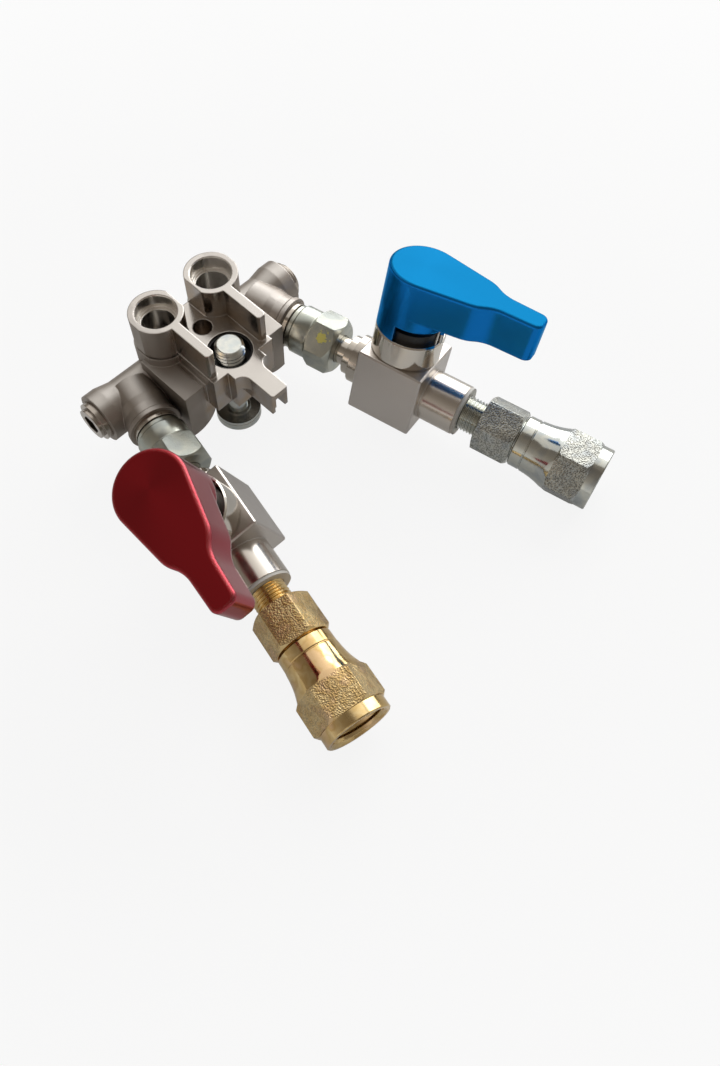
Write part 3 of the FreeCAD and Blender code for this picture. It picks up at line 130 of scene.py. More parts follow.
@dataclass(frozen=True)
class AxisFrame:
    """A frame in which a piece is modelled or a pattern is drawn, such as a line's."""

    origin: Vector
    x: Vector
    z: Vector

    def matrix(self) -> Matrix:
        """Matrix from this frame to the part's frame."""
        turn = Matrix((self.x, self.z.cross(self.x), self.z)).transposed().to_4x4()
        return Matrix.Translation(self.origin) @ turn

    def coordinates(self, tree: bpy.types.NodeTree) -> bpy.types.NodeSocket:
        """Coordinates in this frame, in millimetres.

        Args:
            tree: the material's tree.
        Returns:
            A vector output.
        """
        back = self.matrix().inverted()
        place = node(tree, "ShaderNodeTexCoord").outputs["Object"]
        mapping = node(tree, "ShaderNodeMapping", {"vector_type": "POINT"}, {
            "Vector": place, "Scale": (1 / MM, 1 / MM, 1 / MM), "Rotation": back.to_euler(),
            "Location": back.to_translation() / MM})
        return mapping.outputs["Vector"]


PART_FRAME = AxisFrame(Vector((0, 0, 0)), Vector((1, 0, 0)), Vector((0, 0, 1)))
BOLT_FRAME = AxisFrame(Vector((0, -10.6 * MM, 0)), Vector((0, 0, 1)), Vector((1, 0, 0)))


def facing(tree: bpy.types.NodeTree, axis: Vector) -> bpy.types.NodeSocket:
    """How far a surface faces along an axis, from -1 to 1.

    Args:
        tree: the material's tree.
        axis: the axis, in the part's frame.
    Returns:
        A value output.
    """
    normal = node(tree, "ShaderNodeTexCoord").outputs["Normal"]
    dot = node(tree, "ShaderNodeVectorMath", {"operation": "DOT_PRODUCT"}, {0: normal, 1: axis})
    return dot.outputs["Value"]


def zone(tree: bpy.types.NodeTree, value: bpy.types.NodeSocket, low: float, high: float,
         soft: float) -> bpy.types.NodeSocket:
    """One between two limits and nought outside, with soft edges.

    Args:
        tree: the material's tree.
        value: what is tested.
        low: the lower limit.
        high: the upper limit.
        soft: width of each edge.
    Returns:
        A value output.
    """
    rise = node(tree, "ShaderNodeMapRange", {"clamp": True}, {
        "Value": value, "From Min": low, "From Max": low + soft})
    fall = node(tree, "ShaderNodeMapRange", {"clamp": True}, {
        "Value": value, "From Min": high - soft, "From Max": high, "To Min": 1.0, "To Max": 0.0})
    both = node(tree, "ShaderNodeMath", {"operation": "MULTIPLY"}, {0: rise.outputs[0], 1: fall.outputs[0]})
    return both.outputs[0]


@dataclass(frozen=True)
class Finish:
    """Ground of every finish: its name and how round its edges look."""

    name: str
    edge: float = 0.2

    def begin(self) -> tuple[bpy.types.Material, bpy.types.NodeTree, bpy.types.Node, bpy.types.NodeSocket]:
        """Starts the material.

        Returns:
            The material, its tree, its main shader and a normal that rounds off sharp edges.
        """
        material = bpy.data.materials.new(self.name)
        material.use_nodes = True
        tree = material.node_tree
        # a broken edge catches the light
        soft = node(tree, "ShaderNodeBevel", {"samples": 6}, {"Radius": self.edge * MM})
        return material, tree, tree.nodes["Principled BSDF"], soft.outputs[0]


# Finishes

@dataclass(frozen=True)
class NickelForging(Finish):
    """Nickel plate on a hot forging that is partly machined.

    Forged walls keep a fine scale grain and a browner, duller tone. Milled faces that look up are paler,
    partly their finish and partly painted light from above, and smoother; painted shade darkens the corners.
    """

    name: str = "nickel_plated_forging"
    edge: float = 0.45
    wall: str = "#a39c96"
    tint: str = "#a5937e"
    arm: str = "#9d958d"
    # paler colour of faces that look up: partly milled finish, partly painted light from above
    milled: str = "#bdb8b2"
    bore: str = "#e6e2dc"
    # colour of the painted shade in the corners
    corner: str = "#7a7068"
    port: tuple[float, float] = (9.35, 5.7)
    bore_radius: float = 5.55
    arm_start: float = 11.0
    roughness: float = 0.21
    arm_roughness: float = 0.32
    grain: float = 0.3

    def build(self, place_in: AxisFrame) -> bpy.types.Material:
        """Makes the material in a frame whose z axis is the milled face's normal.

        Args:
            place_in: that frame.
        Returns:
            The material.
        """
        material, tree, shader, soft = self.begin()
        place = place_in.coordinates(tree)
        up = facing(tree, place_in.z)
        flat = node(tree, "ShaderNodeMapRange", {"clamp": True}, {
            "Value": up, "From Min": 0.88, "From Max": 0.97})
        # blotches of plating tint about 6 mm across
        cloud = node(tree, "ShaderNodeTexNoise", {}, {"Vector": place, "Scale": 1 / 6.0, "Detail": 3.0})
        walls = node(tree, "ShaderNodeValToRGB", {}, {"Fac": cloud.outputs["Fac"]},
                     ((0.42, self.wall), (0.72, self.tint)))
        # the arms are left as forged and blasted, and are duller than the sides of the block
        parts = node(tree, "ShaderNodeSeparateXYZ", {}, {0: place})
        across = node(tree, "ShaderNodeMath", {"operation": "ABSOLUTE"}, {0: parts.outputs[0]})
        arm = node(tree, "ShaderNodeMapRange", {"clamp": True}, {
            "Value": across.outputs[0], "From Min": self.arm_start, "From Max": self.arm_start + 1.5})
        forged = node(tree, "ShaderNodeMix", {"data_type": "RGBA"}, {
            0: arm.outputs[0], 6: walls.outputs["Color"], 7: linear(self.arm)})
        # painted light, in part: faces that look up take the paler milled colour, partly their finish and
        # partly light from above
        colour = node(tree, "ShaderNodeMix", {"data_type": "RGBA"}, {
            0: flat.outputs[0], 6: forged.outputs[2], 7: linear(self.milled)})
        # painted shade: the colour darkens towards the corner colour where ambient occlusion finds the
        # surface closed in
        hollow = node(tree, "ShaderNodeAmbientOcclusion", {"samples": 8, "only_local": True}, {
            "Distance": 3.0 * MM})
        open_share = node(tree, "ShaderNodeMapRange", {"clamp": True}, {
            "Value": hollow.outputs["AO"], "From Min": 0.05, "From Max": 0.6})
        painted_corner_shade = node(tree, "ShaderNodeMix", {"data_type": "RGBA"}, {
            0: open_share.outputs[0], 6: linear(self.corner), 7: colour.outputs[2]})
        # the port bores are turned bright
        round_port = node(tree, "ShaderNodeCombineXYZ", {}, {0: across.outputs[0], 1: parts.outputs[1]})
        reach = node(tree, "ShaderNodeVectorMath", {"operation": "DISTANCE"}, {
            0: round_port.outputs[0], 1: (self.port[0], self.port[1], 0)})
        inside = node(tree, "ShaderNodeMath", {"operation": "LESS_THAN"}, {
            0: reach.outputs["Value"], 1: self.bore_radius})
        shaded = node(tree, "ShaderNodeMix", {"data_type": "RGBA"}, {
            0: inside.outputs[0], 6: painted_corner_shade.outputs[2], 7: linear(self.bore)})
        # forged scale of 0.3 mm, which just shows
        speck = node(tree, "ShaderNodeTexNoise", {}, {
            "Vector": place, "Scale": 1 / self.grain, "Detail": 3.0, "Roughness": 0.6})
        depth = node(tree, "ShaderNodeMapRange", {}, {
            "Value": flat.outputs[0], "To Min": 0.35, "To Max": 0.1})
        bump = node(tree, "ShaderNodeBump", {}, {
            "Strength": depth.outputs[0], "Distance": 0.03 * MM, "Height": speck.outputs["Fac"],
            "Normal": soft})
        smooth = node(tree, "ShaderNodeMapRange", {}, {
            "Value": cloud.outputs["Fac"], "From Min": 0.3, "From Max": 0.7, "To Min": self.roughness * 0.75,
            "To Max": self.roughness * 1.3})
        rough = node(tree, "ShaderNodeMath", {"operation": "MULTIPLY_ADD"}, {
            0: arm.outputs[0], 1: self.arm_roughness, 2: smooth.outputs[0]})
        tree.links.new(shaded.outputs[2], shader.inputs["Base Color"])
        tree.links.new(rough.outputs[0], shader.inputs["Roughness"])
        tree.links.new(bump.outputs[0], shader.inputs["Normal"])
        shader.inputs["Metallic"].default_value = 1.0
        return material


@dataclass(frozen=True)
class NickelBody(Finish):
    """Nickel plate on a valve body: a fine satin on its square faces, bright on its turned outlet boss."""

    name: str = "nickel_plated_valve_body"
    edge: float = 0.25
    satin: str = "#c3bdb7"
    bright: str = "#c6bfb6"
    boss_start: float = 58.5
    boss_roughness: float = 0.22
    roughness: float = 0.34

    def build(self, place_in: AxisFrame) -> bpy.types.Material:
        """Makes the material.

        Args:
            place_in: the line's frame.
        Returns:
            The material.
        """
        material, tree, shader, soft = self.begin()
        place = place_in.coordinates(tree)
        along = node(tree, "ShaderNodeSeparateXYZ", {}, {0: place}).outputs[0]
        boss = node(tree, "ShaderNodeMapRange", {"clamp": True}, {
            "Value": along, "From Min": self.boss_start, "From Max": self.boss_start + 0.2})
        colour = node(tree, "ShaderNodeMix", {"data_type": "RGBA"}, {
            0: boss.outputs[0], 6: linear(self.satin), 7: linear(self.bright)})
        # the blast leaves a grain of about 0.2 mm, drawn at 0.25 mm
        speck = node(tree, "ShaderNodeTexNoise", {}, {"Vector": place, "Scale": 4.0, "Detail": 2.0})
        depth = node(tree, "ShaderNodeMapRange", {}, {
            "Value": boss.outputs[0], "To Min": 0.25, "To Max": 0.03})
        bump = node(tree, "ShaderNodeBump", {}, {
            "Strength": depth.outputs[0], "Distance": 0.02 * MM, "Height": speck.outputs["Fac"],
            "Normal": soft})
        # handling marks, 5 mm across, change the gloss a little
        cloud = node(tree, "ShaderNodeTexNoise", {}, {"Vector": place, "Scale": 0.2, "Detail": 3.0})
        satin = node(tree, "ShaderNodeMapRange", {}, {
            "Value": cloud.outputs["Fac"], "From Min": 0.3, "From Max": 0.7, "To Min": self.roughness * 0.85,
            "To Max": self.roughness * 1.15})
        rough = node(tree, "ShaderNodeMix", {}, {
            0: boss.outputs[0], 2: satin.outputs[0], 3: self.boss_roughness})
        tree.links.new(colour.outputs[2], shader.inputs["Base Color"])
        tree.links.new(rough.outputs[0], shader.inputs["Roughness"])
        tree.links.new(bump.outputs[0], shader.inputs["Normal"])
        shader.inputs["Metallic"].default_value = 1.0
        return material


@dataclass(frozen=True)
class TurnedMetal(Finish):
    """A lathe-turned and plated surface: bright, with fine rings around its axis."""

    name: str = "turned_metal"
    colour: str = "#cfcac2"
    roughness: float = 0.14
    pitch: float = 0.2

    def build(self, place_in: AxisFrame) -> bpy.types.Material:
        """Makes the material with rings about the frame's x axis.

        Args:
            place_in: that frame.
        Returns:
            The material.
        """
        material, tree, shader, soft = self.begin()
        place = place_in.coordinates(tree)
        # the tool's rings are about 0.1 mm apart, drawn at 0.2 or 0.3 mm so that they show
        rings = node(tree, "ShaderNodeTexWave", {"wave_type": "BANDS", "bands_direction": "X"}, {
            "Vector": place, "Scale": WAVE_LENGTH / self.pitch, "Distortion": 0.8, "Detail": 2.0})
        bump = node(tree, "ShaderNodeBump", {}, {
            "Strength": 0.3, "Distance": 0.006 * MM, "Height": rings.outputs["Fac"], "Normal": soft})
        # handling marks, 4 mm across, change the gloss a little
        cloud = node(tree, "ShaderNodeTexNoise", {}, {"Vector": place, "Scale": 0.25})
        rough = node(tree, "ShaderNodeMapRange", {}, {
            "Value": cloud.outputs["Fac"], "To Min": self.roughness * 0.7, "To Max": self.roughness * 1.4})
        shader.inputs["Base Color"].default_value = linear(self.colour)
        shader.inputs["Metallic"].default_value = 1.0
        tree.links.new(rough.outputs[0], shader.inputs["Roughness"])
        tree.links.new(bump.outputs[0], shader.inputs["Normal"])
        return material


@dataclass(frozen=True)
class ZincPlate(Finish):
    """Zinc plate on a steel fitting.

    Turned parts are smooth, and the flats of the drawn hexagon are coarse and glitter, with painted shade in
    the pits between their crystals. The passivation leaves soft clouds of tint.
    """

    name: str = "zinc_plate"
    edge: float = 0.22
    tints: tuple[str, ...] = ("#c0c5c3", "#cccdc6", "#b6bbbc")
    # colour of the painted shade in the pits
    pit: str = "#4d4b47"
    # stations between which it is a hexagon, which is nowhere unless they are given
    flats: tuple[float, float] = (0.0, 0.0)
    roughness: float = 0.13
    # speckle and crystal: how far the pits and the crystal tops are darkened by painted shade
    speckle: float = 0.65
    crystal: float = 0.1
    grain: float = 0.42
    depth: float = 0.08
    mark: Optional[tuple[float, float, float]] = None
    paint: str = "#f4e77c"

    def build(self, place_in: AxisFrame) -> bpy.types.Material:
        """Makes the material for one fitting.

        Args:
            place_in: the line's frame.
        Returns:
            The material.
        """
        material, tree, shader, soft = self.begin()
        place = place_in.coordinates(tree)
        along = node(tree, "ShaderNodeSeparateXYZ", {}, {0: place}).outputs[0]
        axial = node(tree, "ShaderNodeMath", {"operation": "ABSOLUTE"}, {0: facing(tree, place_in.x)})
        radial = node(tree, "ShaderNodeMapRange", {"clamp": True}, {
            "Value": axial.outputs[0], "From Min": 0.1, "From Max": 0.3, "To Min": 1.0, "To Max": 0.0})
        hexagon = node(tree, "ShaderNodeMath", {"operation": "MULTIPLY"}, {
            0: zone(tree, along, self.flats[0], self.flats[1], 0.15), 1: radial.outputs[0]})
        # clouds of passivation tint about 5 mm across
        cloud = node(tree, "ShaderNodeTexNoise", {}, {"Vector": place, "Scale": 0.2, "Detail": 2.0})
        last = len(self.tints) - 1
        stops = [(0.35 + 0.3 * number / last, tint) for number, tint in enumerate(self.tints)]
        turned_tint = node(tree, "ShaderNodeValToRGB", {}, {"Fac": cloud.outputs["Fac"]}, stops)
        # crystals of the drawn bar, about 0.4 mm
        grit = node(tree, "ShaderNodeTexNoise", {}, {
            "Vector": place, "Scale": 1 / self.grain, "Detail": 3.0, "Roughness": 0.65})
        cells = node(tree, "ShaderNodeTexVoronoi", {}, {"Vector": place, "Scale": 1 / self.grain})
        height = node(tree, "ShaderNodeMath", {"operation": "ADD"}, {
            0: grit.outputs["Fac"], 1: cells.outputs["Distance"]})
        # painted shade: pits between the crystals, and less so the crystal tops, are darkened in the colour
        # as if they held less light
        pits = node(tree, "ShaderNodeMapRange", {"clamp": True}, {
            "Value": height.outputs[0], "From Min": 0.65, "From Max": 1.15, "To Min": self.speckle,
            "To Max": self.crystal})
        pit_shade = node(tree, "ShaderNodeMath", {"operation": "MULTIPLY"}, {
            0: pits.outputs[0], 1: hexagon.outputs[0]})
        colour = node(tree, "ShaderNodeMix", {"data_type": "RGBA"}, {
            0: pit_shade.outputs[0], 6: turned_tint.outputs["Color"], 7: linear(self.pit)}).outputs[2]
        amount = node(tree, "ShaderNodeMapRange", {}, {
            "Value": hexagon.outputs[0], "To Min": 0.015, "To Max": 1.0})
        bump = node(tree, "ShaderNodeBump", {}, {
            "Strength": amount.outputs[0], "Distance": self.depth * MM, "Height": height.outputs[0],
            "Normal": soft})
        rough = node(tree, "ShaderNodeMapRange", {}, {
            "Value": hexagon.outputs[0], "To Min": self.roughness, "To Max": self.roughness + 0.13})
        if self.mark:
            # a dab of yellow paint that shows the nut was tightened, its edge about 1 to 2 mm from its middle
            # and ragged by noise of 0.9 mm
            span = node(tree, "ShaderNodeVectorMath", {"operation": "DISTANCE"}, {0: place, 1: self.mark})
            ragged = node(tree, "ShaderNodeTexNoise", {}, {"Vector": place, "Scale": 1.1, "Detail": 4.0})
            reach = node(tree, "ShaderNodeMath", {"operation": "MULTIPLY_ADD"}, {
                0: ragged.outputs["Fac"], 1: 4.4, 2: -0.65})
            dab = node(tree, "ShaderNodeMath", {"operation": "LESS_THAN"}, {
                0: span.outputs["Value"], 1: reach.outputs[0]})
            colour = node(tree, "ShaderNodeMix", {"data_type": "RGBA"}, {
                0: dab.outputs[0], 6: colour, 7: linear(self.paint)}).outputs[2]
            bare = node(tree, "ShaderNodeMath", {"operation": "SUBTRACT"}, {0: 1.0, 1: dab.outputs[0]})
            tree.links.new(bare.outputs[0], shader.inputs["Metallic"])
        else:
            shader.inputs["Metallic"].default_value = 1.0
        tree.links.new(colour, shader.inputs["Base Color"])
        tree.links.new(rough.outputs[0], shader.inputs["Roughness"])
        tree.links.new(bump.outputs[0], shader.inputs["Normal"])
        return material


@dataclass(frozen=True)
class Anodised(Finish):
    """Dyed anodic film on machined aluminium: a deep metallic colour over the marks of the cutter.

    The top was faced on a lathe about the pivot, so its shine fans out from there.
    """

    name: str = "anodised_aluminium"
    edge: float = 0.5
    # colours of the top and of the side walls: one dye, lit and shaded differently, so painted light
    face: str = "#2f95d8"
    wall: str = "#1c6bb8"
    # pale edge colour: bare metal where the film wears, and a painted highlight
    worn_and_highlight_colour: str = "#7fb4dc"
    wear_and_highlight_share: float = 0.25
    film: float = 0.0
    glance: str = "#ffffff"
    roughness: float = 0.24
    pitch: float = 0.3

    def build(self, place_in: AxisFrame) -> bpy.types.Material:
        """Makes the material with its swirl about the frame's z axis.

        Args:
            place_in: the stem's frame.
        Returns:
            The material.
        """
        material, tree, shader, soft = self.begin()
        place = place_in.coordinates(tree)
        up = facing(tree, place_in.z)
        top = node(tree, "ShaderNodeMapRange", {"clamp": True}, {
            "Value": up, "From Min": 0.6, "From Max": 0.98})
        # painted light: the top and the side walls get their own colours for how light falls on them and what
        # they mirror
        colour = node(tree, "ShaderNodeMix", {"data_type": "RGBA"}, {
            0: top.outputs[0], 6: linear(self.wall), 7: linear(self.face)})
        # the film is thin along the edges, where the metal shows through, and the pale edge colour also
        # paints a highlight along the rims
        bend = node(tree, "ShaderNodeVectorMath", {"operation": "DOT_PRODUCT"}, {
            0: soft, 1: node(tree, "ShaderNodeNewGeometry").outputs["Normal"]})
        rim_wear_and_highlight = node(tree, "ShaderNodeMapRange", {"clamp": True}, {
            "Value": bend.outputs["Value"], "From Min": 0.98, "From Max": 0.86, "To Max": self.wear_and_highlight_share})
        colour = node(tree, "ShaderNodeMix", {"data_type": "RGBA"}, {
            0: rim_wear_and_highlight.outputs[0], 6: colour.outputs[2], 7: linear(self.worn_and_highlight_colour)})
        # cutter marks 0.3 mm apart in rings about the pivot
        rings = node(tree, "ShaderNodeTexWave", {"wave_type": "RINGS", "rings_direction": "Z"}, {
            "Vector": place, "Scale": WAVE_LENGTH / self.pitch, "Distortion": 1.5, "Detail": 3.0,
            "Detail Scale": 2.0})
        height = node(tree, "ShaderNodeMath", {"operation": "MULTIPLY"}, {
            0: rings.outputs["Fac"], 1: top.outputs[0]})
        bump = node(tree, "ShaderNodeBump", {}, {
            "Strength": 0.2, "Distance": 0.006 * MM, "Height": height.outputs[0], "Normal": soft})
        # the shine fans out: the tangent runs round the pivot
        arm = node(tree, "ShaderNodeVectorMath", {"operation": "SUBTRACT"}, {
            0: node(tree, "ShaderNodeTexCoord").outputs["Object"], 1: place_in.origin})
        around = node(tree, "ShaderNodeVectorMath", {"operation": "CROSS_PRODUCT"}, {
            0: place_in.z, 1: arm.outputs[0]})
        way = node(tree, "ShaderNodeVectorMath", {"operation": "NORMALIZE"}, {0: around.outputs[0]})
        rough = node(tree, "ShaderNodeMapRange", {}, {
            "Value": top.outputs[0], "To Min": self.roughness * 0.8, "To Max": self.roughness * 1.15})
        tree.links.new(colour.outputs[2], shader.inputs["Base Color"])
        tree.links.new(rough.outputs[0], shader.inputs["Roughness"])
        tree.links.new(bump.outputs[0], shader.inputs["Normal"])
        tree.links.new(way.outputs[0], shader.inputs["Tangent"])
        shader.inputs["Metallic"].default_value = 0.92
        shader.inputs["Anisotropic"].default_value = 0.5
        # the dye tints what glances off the film as well
        shader.inputs["Specular Tint"].default_value = linear(self.glance)
        # the sealed film has a clear gloss of its own
        shader.inputs["Coat Weight"].default_value = self.film
        shader.inputs["Coat Roughness"].default_value = 0.13
        return material


@dataclass(frozen=True)
class Moulded(Finish):
    """Moulded plastic or rubber with a faint grain."""

    name: str = "moulded"
    colour: str = "#141414"
    roughness: float = 0.5
    grain: float = 0.3

    def build(self, place_in: AxisFrame) -> bpy.types.Material:
        """Makes the material.

        Args:
            place_in: the frame its grain is drawn in.
        Returns:
            The material.
        """
        material, tree, shader, soft = self.begin()
        place = place_in.coordinates(tree)
        # the mould's grain, 0.3 mm
        speck = node(tree, "ShaderNodeTexNoise", {}, {
            "Vector": place, "Scale": 1 / self.grain, "Detail": 3.0, "Roughness": 0.6})
        bump = node(tree, "ShaderNodeBump", {}, {
            "Strength": 0.4, "Distance": 0.02 * MM, "Height": speck.outputs["Fac"], "Normal": soft})
        rough = node(tree, "ShaderNodeMapRange", {}, {
            "Value": speck.outputs["Fac"], "To Min": self.roughness * 0.8, "To Max": self.roughness * 1.2})
        shader.inputs["Base Color"].default_value = linear(self.colour)
        tree.links.new(rough.outputs[0], shader.inputs["Roughness"])
        tree.links.new(bump.outputs[0], shader.inputs["Normal"])
        return material


@dataclass(frozen=True)
class StudioPaper:
    """Pale paper under the part: the camera sees it nearly white, and metal sees it with deeper shadows."""

    name: str = "pale_studio_paper"
    colour: str = "#f2f1ee"
    roughness: float = 0.9
    # share of white light that the camera sees in it, near the part and far from it
    glow: tuple[float, float] = (0.88, 1.0)
    # the same for what metal mirrors
    mirrored: tuple[float, float] = (0.22, 0.6)

    def build(self) -> bpy.types.Material:
        """Makes the material.

        Returns:
            The material.
        """
        material = bpy.data.materials.new(self.name)
        material.use_nodes = True
        tree = material.node_tree
        shader = tree.nodes["Principled BSDF"]
        shader.inputs["Base Color"].default_value = linear(self.colour)
        shader.inputs["Roughness"].default_value = self.roughness
        shader.inputs["Specular IOR Level"].default_value = 0.0
        rays = node(tree, "ShaderNodeLightPath")
        white = node(tree, "ShaderNodeEmission", {}, {"Color": (1, 1, 1, 1), "Strength": 1.0})
        place = node(tree, "ShaderNodeTexCoord").outputs["Object"]
        reach = node(tree, "ShaderNodeVectorMath", {"operation": "LENGTH"}, {0: place}).outputs["Value"]
        # both shares rise with the distance from the part, in metres
        paper = node(tree, "ShaderNodeMapRange", {"clamp": True}, {
            "Value": reach, "From Min": 0.12, "From Max": 0.45, "To Min": self.glow[0],
            "To Max": self.glow[1]})
        lift = node(tree, "ShaderNodeMath", {"operation": "MULTIPLY"}, {
            0: rays.outputs["Is Camera Ray"], 1: paper.outputs[0]})
        sweep = node(tree, "ShaderNodeMapRange", {"clamp": True}, {
            "Value": reach, "From Min": 0.15, "From Max": 0.7, "To Min": self.mirrored[0],
            "To Max": self.mirrored[1]})
        gleam = node(tree, "ShaderNodeMath", {"operation": "MULTIPLY_ADD"}, {
            0: rays.outputs["Is Glossy Ray"], 1: sweep.outputs[0], 2: lift.outputs[0]})
        pale = node(tree, "ShaderNodeMixShader", {}, {
            0: gleam.outputs[0], 1: shader.outputs[0], 2: white.outputs[0]})
        tree.links.new(pale.outputs[0], tree.nodes["Material Output"].inputs["Surface"])
        return material


# tints of clear passivation on the hose ends and on the union nuts, and of yellow passivation
SILVER_TINTS = ("#b4b8b5", "#bfbfb6", "#aaaead")
UNION_TINTS = ("#a6aaa2", "#b1b2a7", "#9ea29d")
GOLD_TINTS = ("#d3b47a", "#ddc38f", "#cbab72", "#d6b68a")
# the record's slots for the two platings
ZINC_SLOTS = ("zinc_plated", "yellow_zinc")


# Tools for meshes

def pick(*pieces: bpy.types.Object) -> None:
    """Leaves edit mode and selects pieces.

    Args:
        pieces: what is selected, the last one active.
    """
    if bpy.context.mode != "OBJECT":
        bpy.ops.object.mode_set(mode="OBJECT")
    bpy.ops.object.select_all(action="DESELECT")
    for piece in pieces:
        piece.select_set(True)
        bpy.context.view_layer.objects.active = piece


def turned(name: str, profile: Sequence[tuple[float, float]], sides: int = 96,
           hollow: bool = True) -> bpy.types.Object:
    """Turns a profile about the x axis: a ring is extruded and resized from station to station.

    Args:
        name: name of the piece.
        profile: station and radius of each point, in millimetres.
        sides: how many sides the ring has.
        hollow: whether the profile closes on itself, or has a flat end each way.
    Returns:
        The piece, modelled about the x axis.
    """
    pick()
    station, radius = profile[0]
    bpy.ops.mesh.primitive_circle_add(
        vertices=sides, radius=radius * MM, fill_type="NOTHING" if hollow else "NGON",
        location=(station * MM, 0, 0), rotation=(0, math.pi / 2, 0))
    piece = bpy.context.object
    piece.name = name
    bpy.ops.object.transform_apply(location=True, rotation=True, scale=True)
    bpy.ops.object.mode_set(mode="EDIT")
    bpy.ops.mesh.select_all(action="SELECT")
    for next_station, next_radius in list(profile[1:]) + (list(profile[:1]) if hollow else []):
        step = ((next_station - station) * MM, 0, 0)
        share = next_radius / radius
        bpy.ops.mesh.extrude_region_move(TRANSFORM_OT_translate={"value": step})
        bpy.ops.transform.resize(value=(1, share, share), center_override=(next_station * MM, 0, 0))
        station, radius = next_station, next_radius
    bpy.ops.mesh.select_all(action="SELECT")
    bpy.ops.mesh.remove_doubles(threshold=0.000001)
    bpy.ops.mesh.normals_make_consistent(inside=False)
    bpy.ops.object.mode_set(mode="OBJECT")
    return piece


def carve(piece: bpy.types.Object, tool: bpy.types.Object, how: Cut) -> None:
    """Cuts a piece with a tool, which is used up.

    Args:
        piece: what is cut.
        tool: what cuts it.
        how: whether the tool is taken away or the piece is cut down to it.
    """
    cut = piece.modifiers.new("cut", "BOOLEAN")
    cut.object = tool
    cut.operation = how.value
    cut.solver = "EXACT"
    pick(piece)
    bpy.ops.object.modifier_apply(modifier=cut.name)
    bpy.data.objects.remove(tool, do_unlink=True)


def mill_hexagon(piece: bpy.types.Object, flats: float, start: float, end: float, turn: float) -> None:
    """Mills six flats on a turned piece.

    Args:
        piece: the turned piece.
        flats: width across flats.
        start: station of the first end.
        end: station of the other end.
        turn: how far the hexagon is turned, in degrees.
    """
    corner = flats / math.sqrt(3)
    cutter = turned("hexagon_cutter", [
        (start, corner), (start, corner * 2), (end, corner * 2), (end, corner)], sides=6)
    cutter.rotation_euler.x = math.radians(turn)
    pick(cutter)
    bpy.ops.object.transform_apply(location=True, rotation=True, scale=True)
    carve(piece, cutter, Cut.AWAY)


def thread_ridge(name: str, start: float, end: float, middle: float, half_height: float,
                 pitch: float) -> bpy.types.Object:
    """Ridge of a thread: a diamond section swept along a helix about the x axis.

    Args:
        name: name of the piece.
        start: station of its first end.
        end: station of its other end.
        middle: radius of the section's middle.
        half_height: half the section's height.
        pitch: advance in one turn.
    Returns:
        The ridge as a closed mesh.
    """
    pick()
    bpy.ops.mesh.primitive_circle_add(
        vertices=4, radius=1.0, fill_type="NOTHING", rotation=(math.pi / 2, 0, 0))
    piece = bpy.context.object
    piece.name = name
    bpy.ops.object.transform_apply(location=True, rotation=True, scale=True)
    bpy.ops.object.mode_set(mode="EDIT")
    bpy.ops.mesh.select_all(action="SELECT")
    bpy.ops.transform.resize(value=(pitch * 0.49 * MM, 1, half_height * MM), center_override=(0, 0, 0))
    bpy.ops.transform.translate(value=(start * MM, 0, middle * MM))
    bpy.ops.object.mode_set(mode="OBJECT")
    turns = (end - start) / pitch
    sweep = piece.modifiers.new("sweep", "SCREW")
    sweep.axis = "X"
    sweep.angle = 2 * math.pi * turns
    sweep.screw_offset = (end - start) * MM
    sweep.steps = round(40 * turns)
    sweep.render_steps = sweep.steps
    bpy.ops.object.modifier_apply(modifier=sweep.name)
    bpy.ops.object.mode_set(mode="EDIT")
    bpy.ops.mesh.select_all(action="SELECT")
    bpy.ops.mesh.fill_holes(sides=4)
    bpy.ops.mesh.select_all(action="SELECT")
    bpy.ops.mesh.normals_make_consistent(inside=False)
    bpy.ops.object.mode_set(mode="OBJECT")
    return piece


def finish_piece(name: str, parts: Sequence[bpy.types.Object], place_in: AxisFrame,
                 material: bpy.types.Material, body: str, slot: str) -> bpy.types.Object:
    """Joins a piece's parts, sets it in its place and lets it stand for its solid.

    Args:
        name: name of the solid it stands for.
        parts: its parts, modelled about the x axis.
        place_in: the frame it was modelled in.
        material: its finish.
        body: the body it rides on.
        slot: the record's slot for its finish; not used.
    Returns:
        The finished piece.
    """
    pick(*parts)
    if len(parts) > 1:
        bpy.ops.object.join()
    piece = bpy.context.object
    piece.name = name + "_detail"
    piece.data.name = piece.name
    piece.matrix_world = place_in.matrix()
    bpy.ops.object.transform_apply(location=True, rotation=True, scale=True)
    bpy.ops.object.shade_smooth_by_angle(angle=math.radians(32))
    piece.data.materials.clear()
    piece.data.materials.append(material)
    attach(piece, body)
    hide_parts(name)
    log.info("%s: %d faces", piece.name, len(piece.data.polygons))
    return piece


def dress(name: str, material: bpy.types.Material) -> None:
    """Gives a solid from the frame its material.

    Args:
        name: name of the solid.
        material: its finish.
    """
    for slot in frame["nodes"][name].material_slots:
        slot.link = "OBJECT"
        slot.material = material
    log.info("%s: %s", name, material.name)


# Frames of the lines, read from the joints

def stem_frame(side: Side) -> AxisFrame:
    """Frame of one valve stem: its origin where the stem's axis meets the line's, z up the stem.

    Args:
        side: which line.
    Returns:
        The frame.
    """
    joints = {joint["name"]: joint for joint in frame["joints"]}
    turn = joints["handle_turn_" + side.value]
    spin = joints["hose_nut_spin_" + side.value]
    along = Vector(spin["axis"]).normalized()
    return AxisFrame(Vector(turn["pos_m"]), along, Vector(turn["axis"]).normalized())


def line_frame(side: Side) -> AxisFrame:
    """Frame of one line, its origin on the arm's axis."""
    stem = stem_frame(side)
    return AxisFrame(stem.origin - stem.x * STEM_STATION * MM, stem.x, stem.z)


# Studio

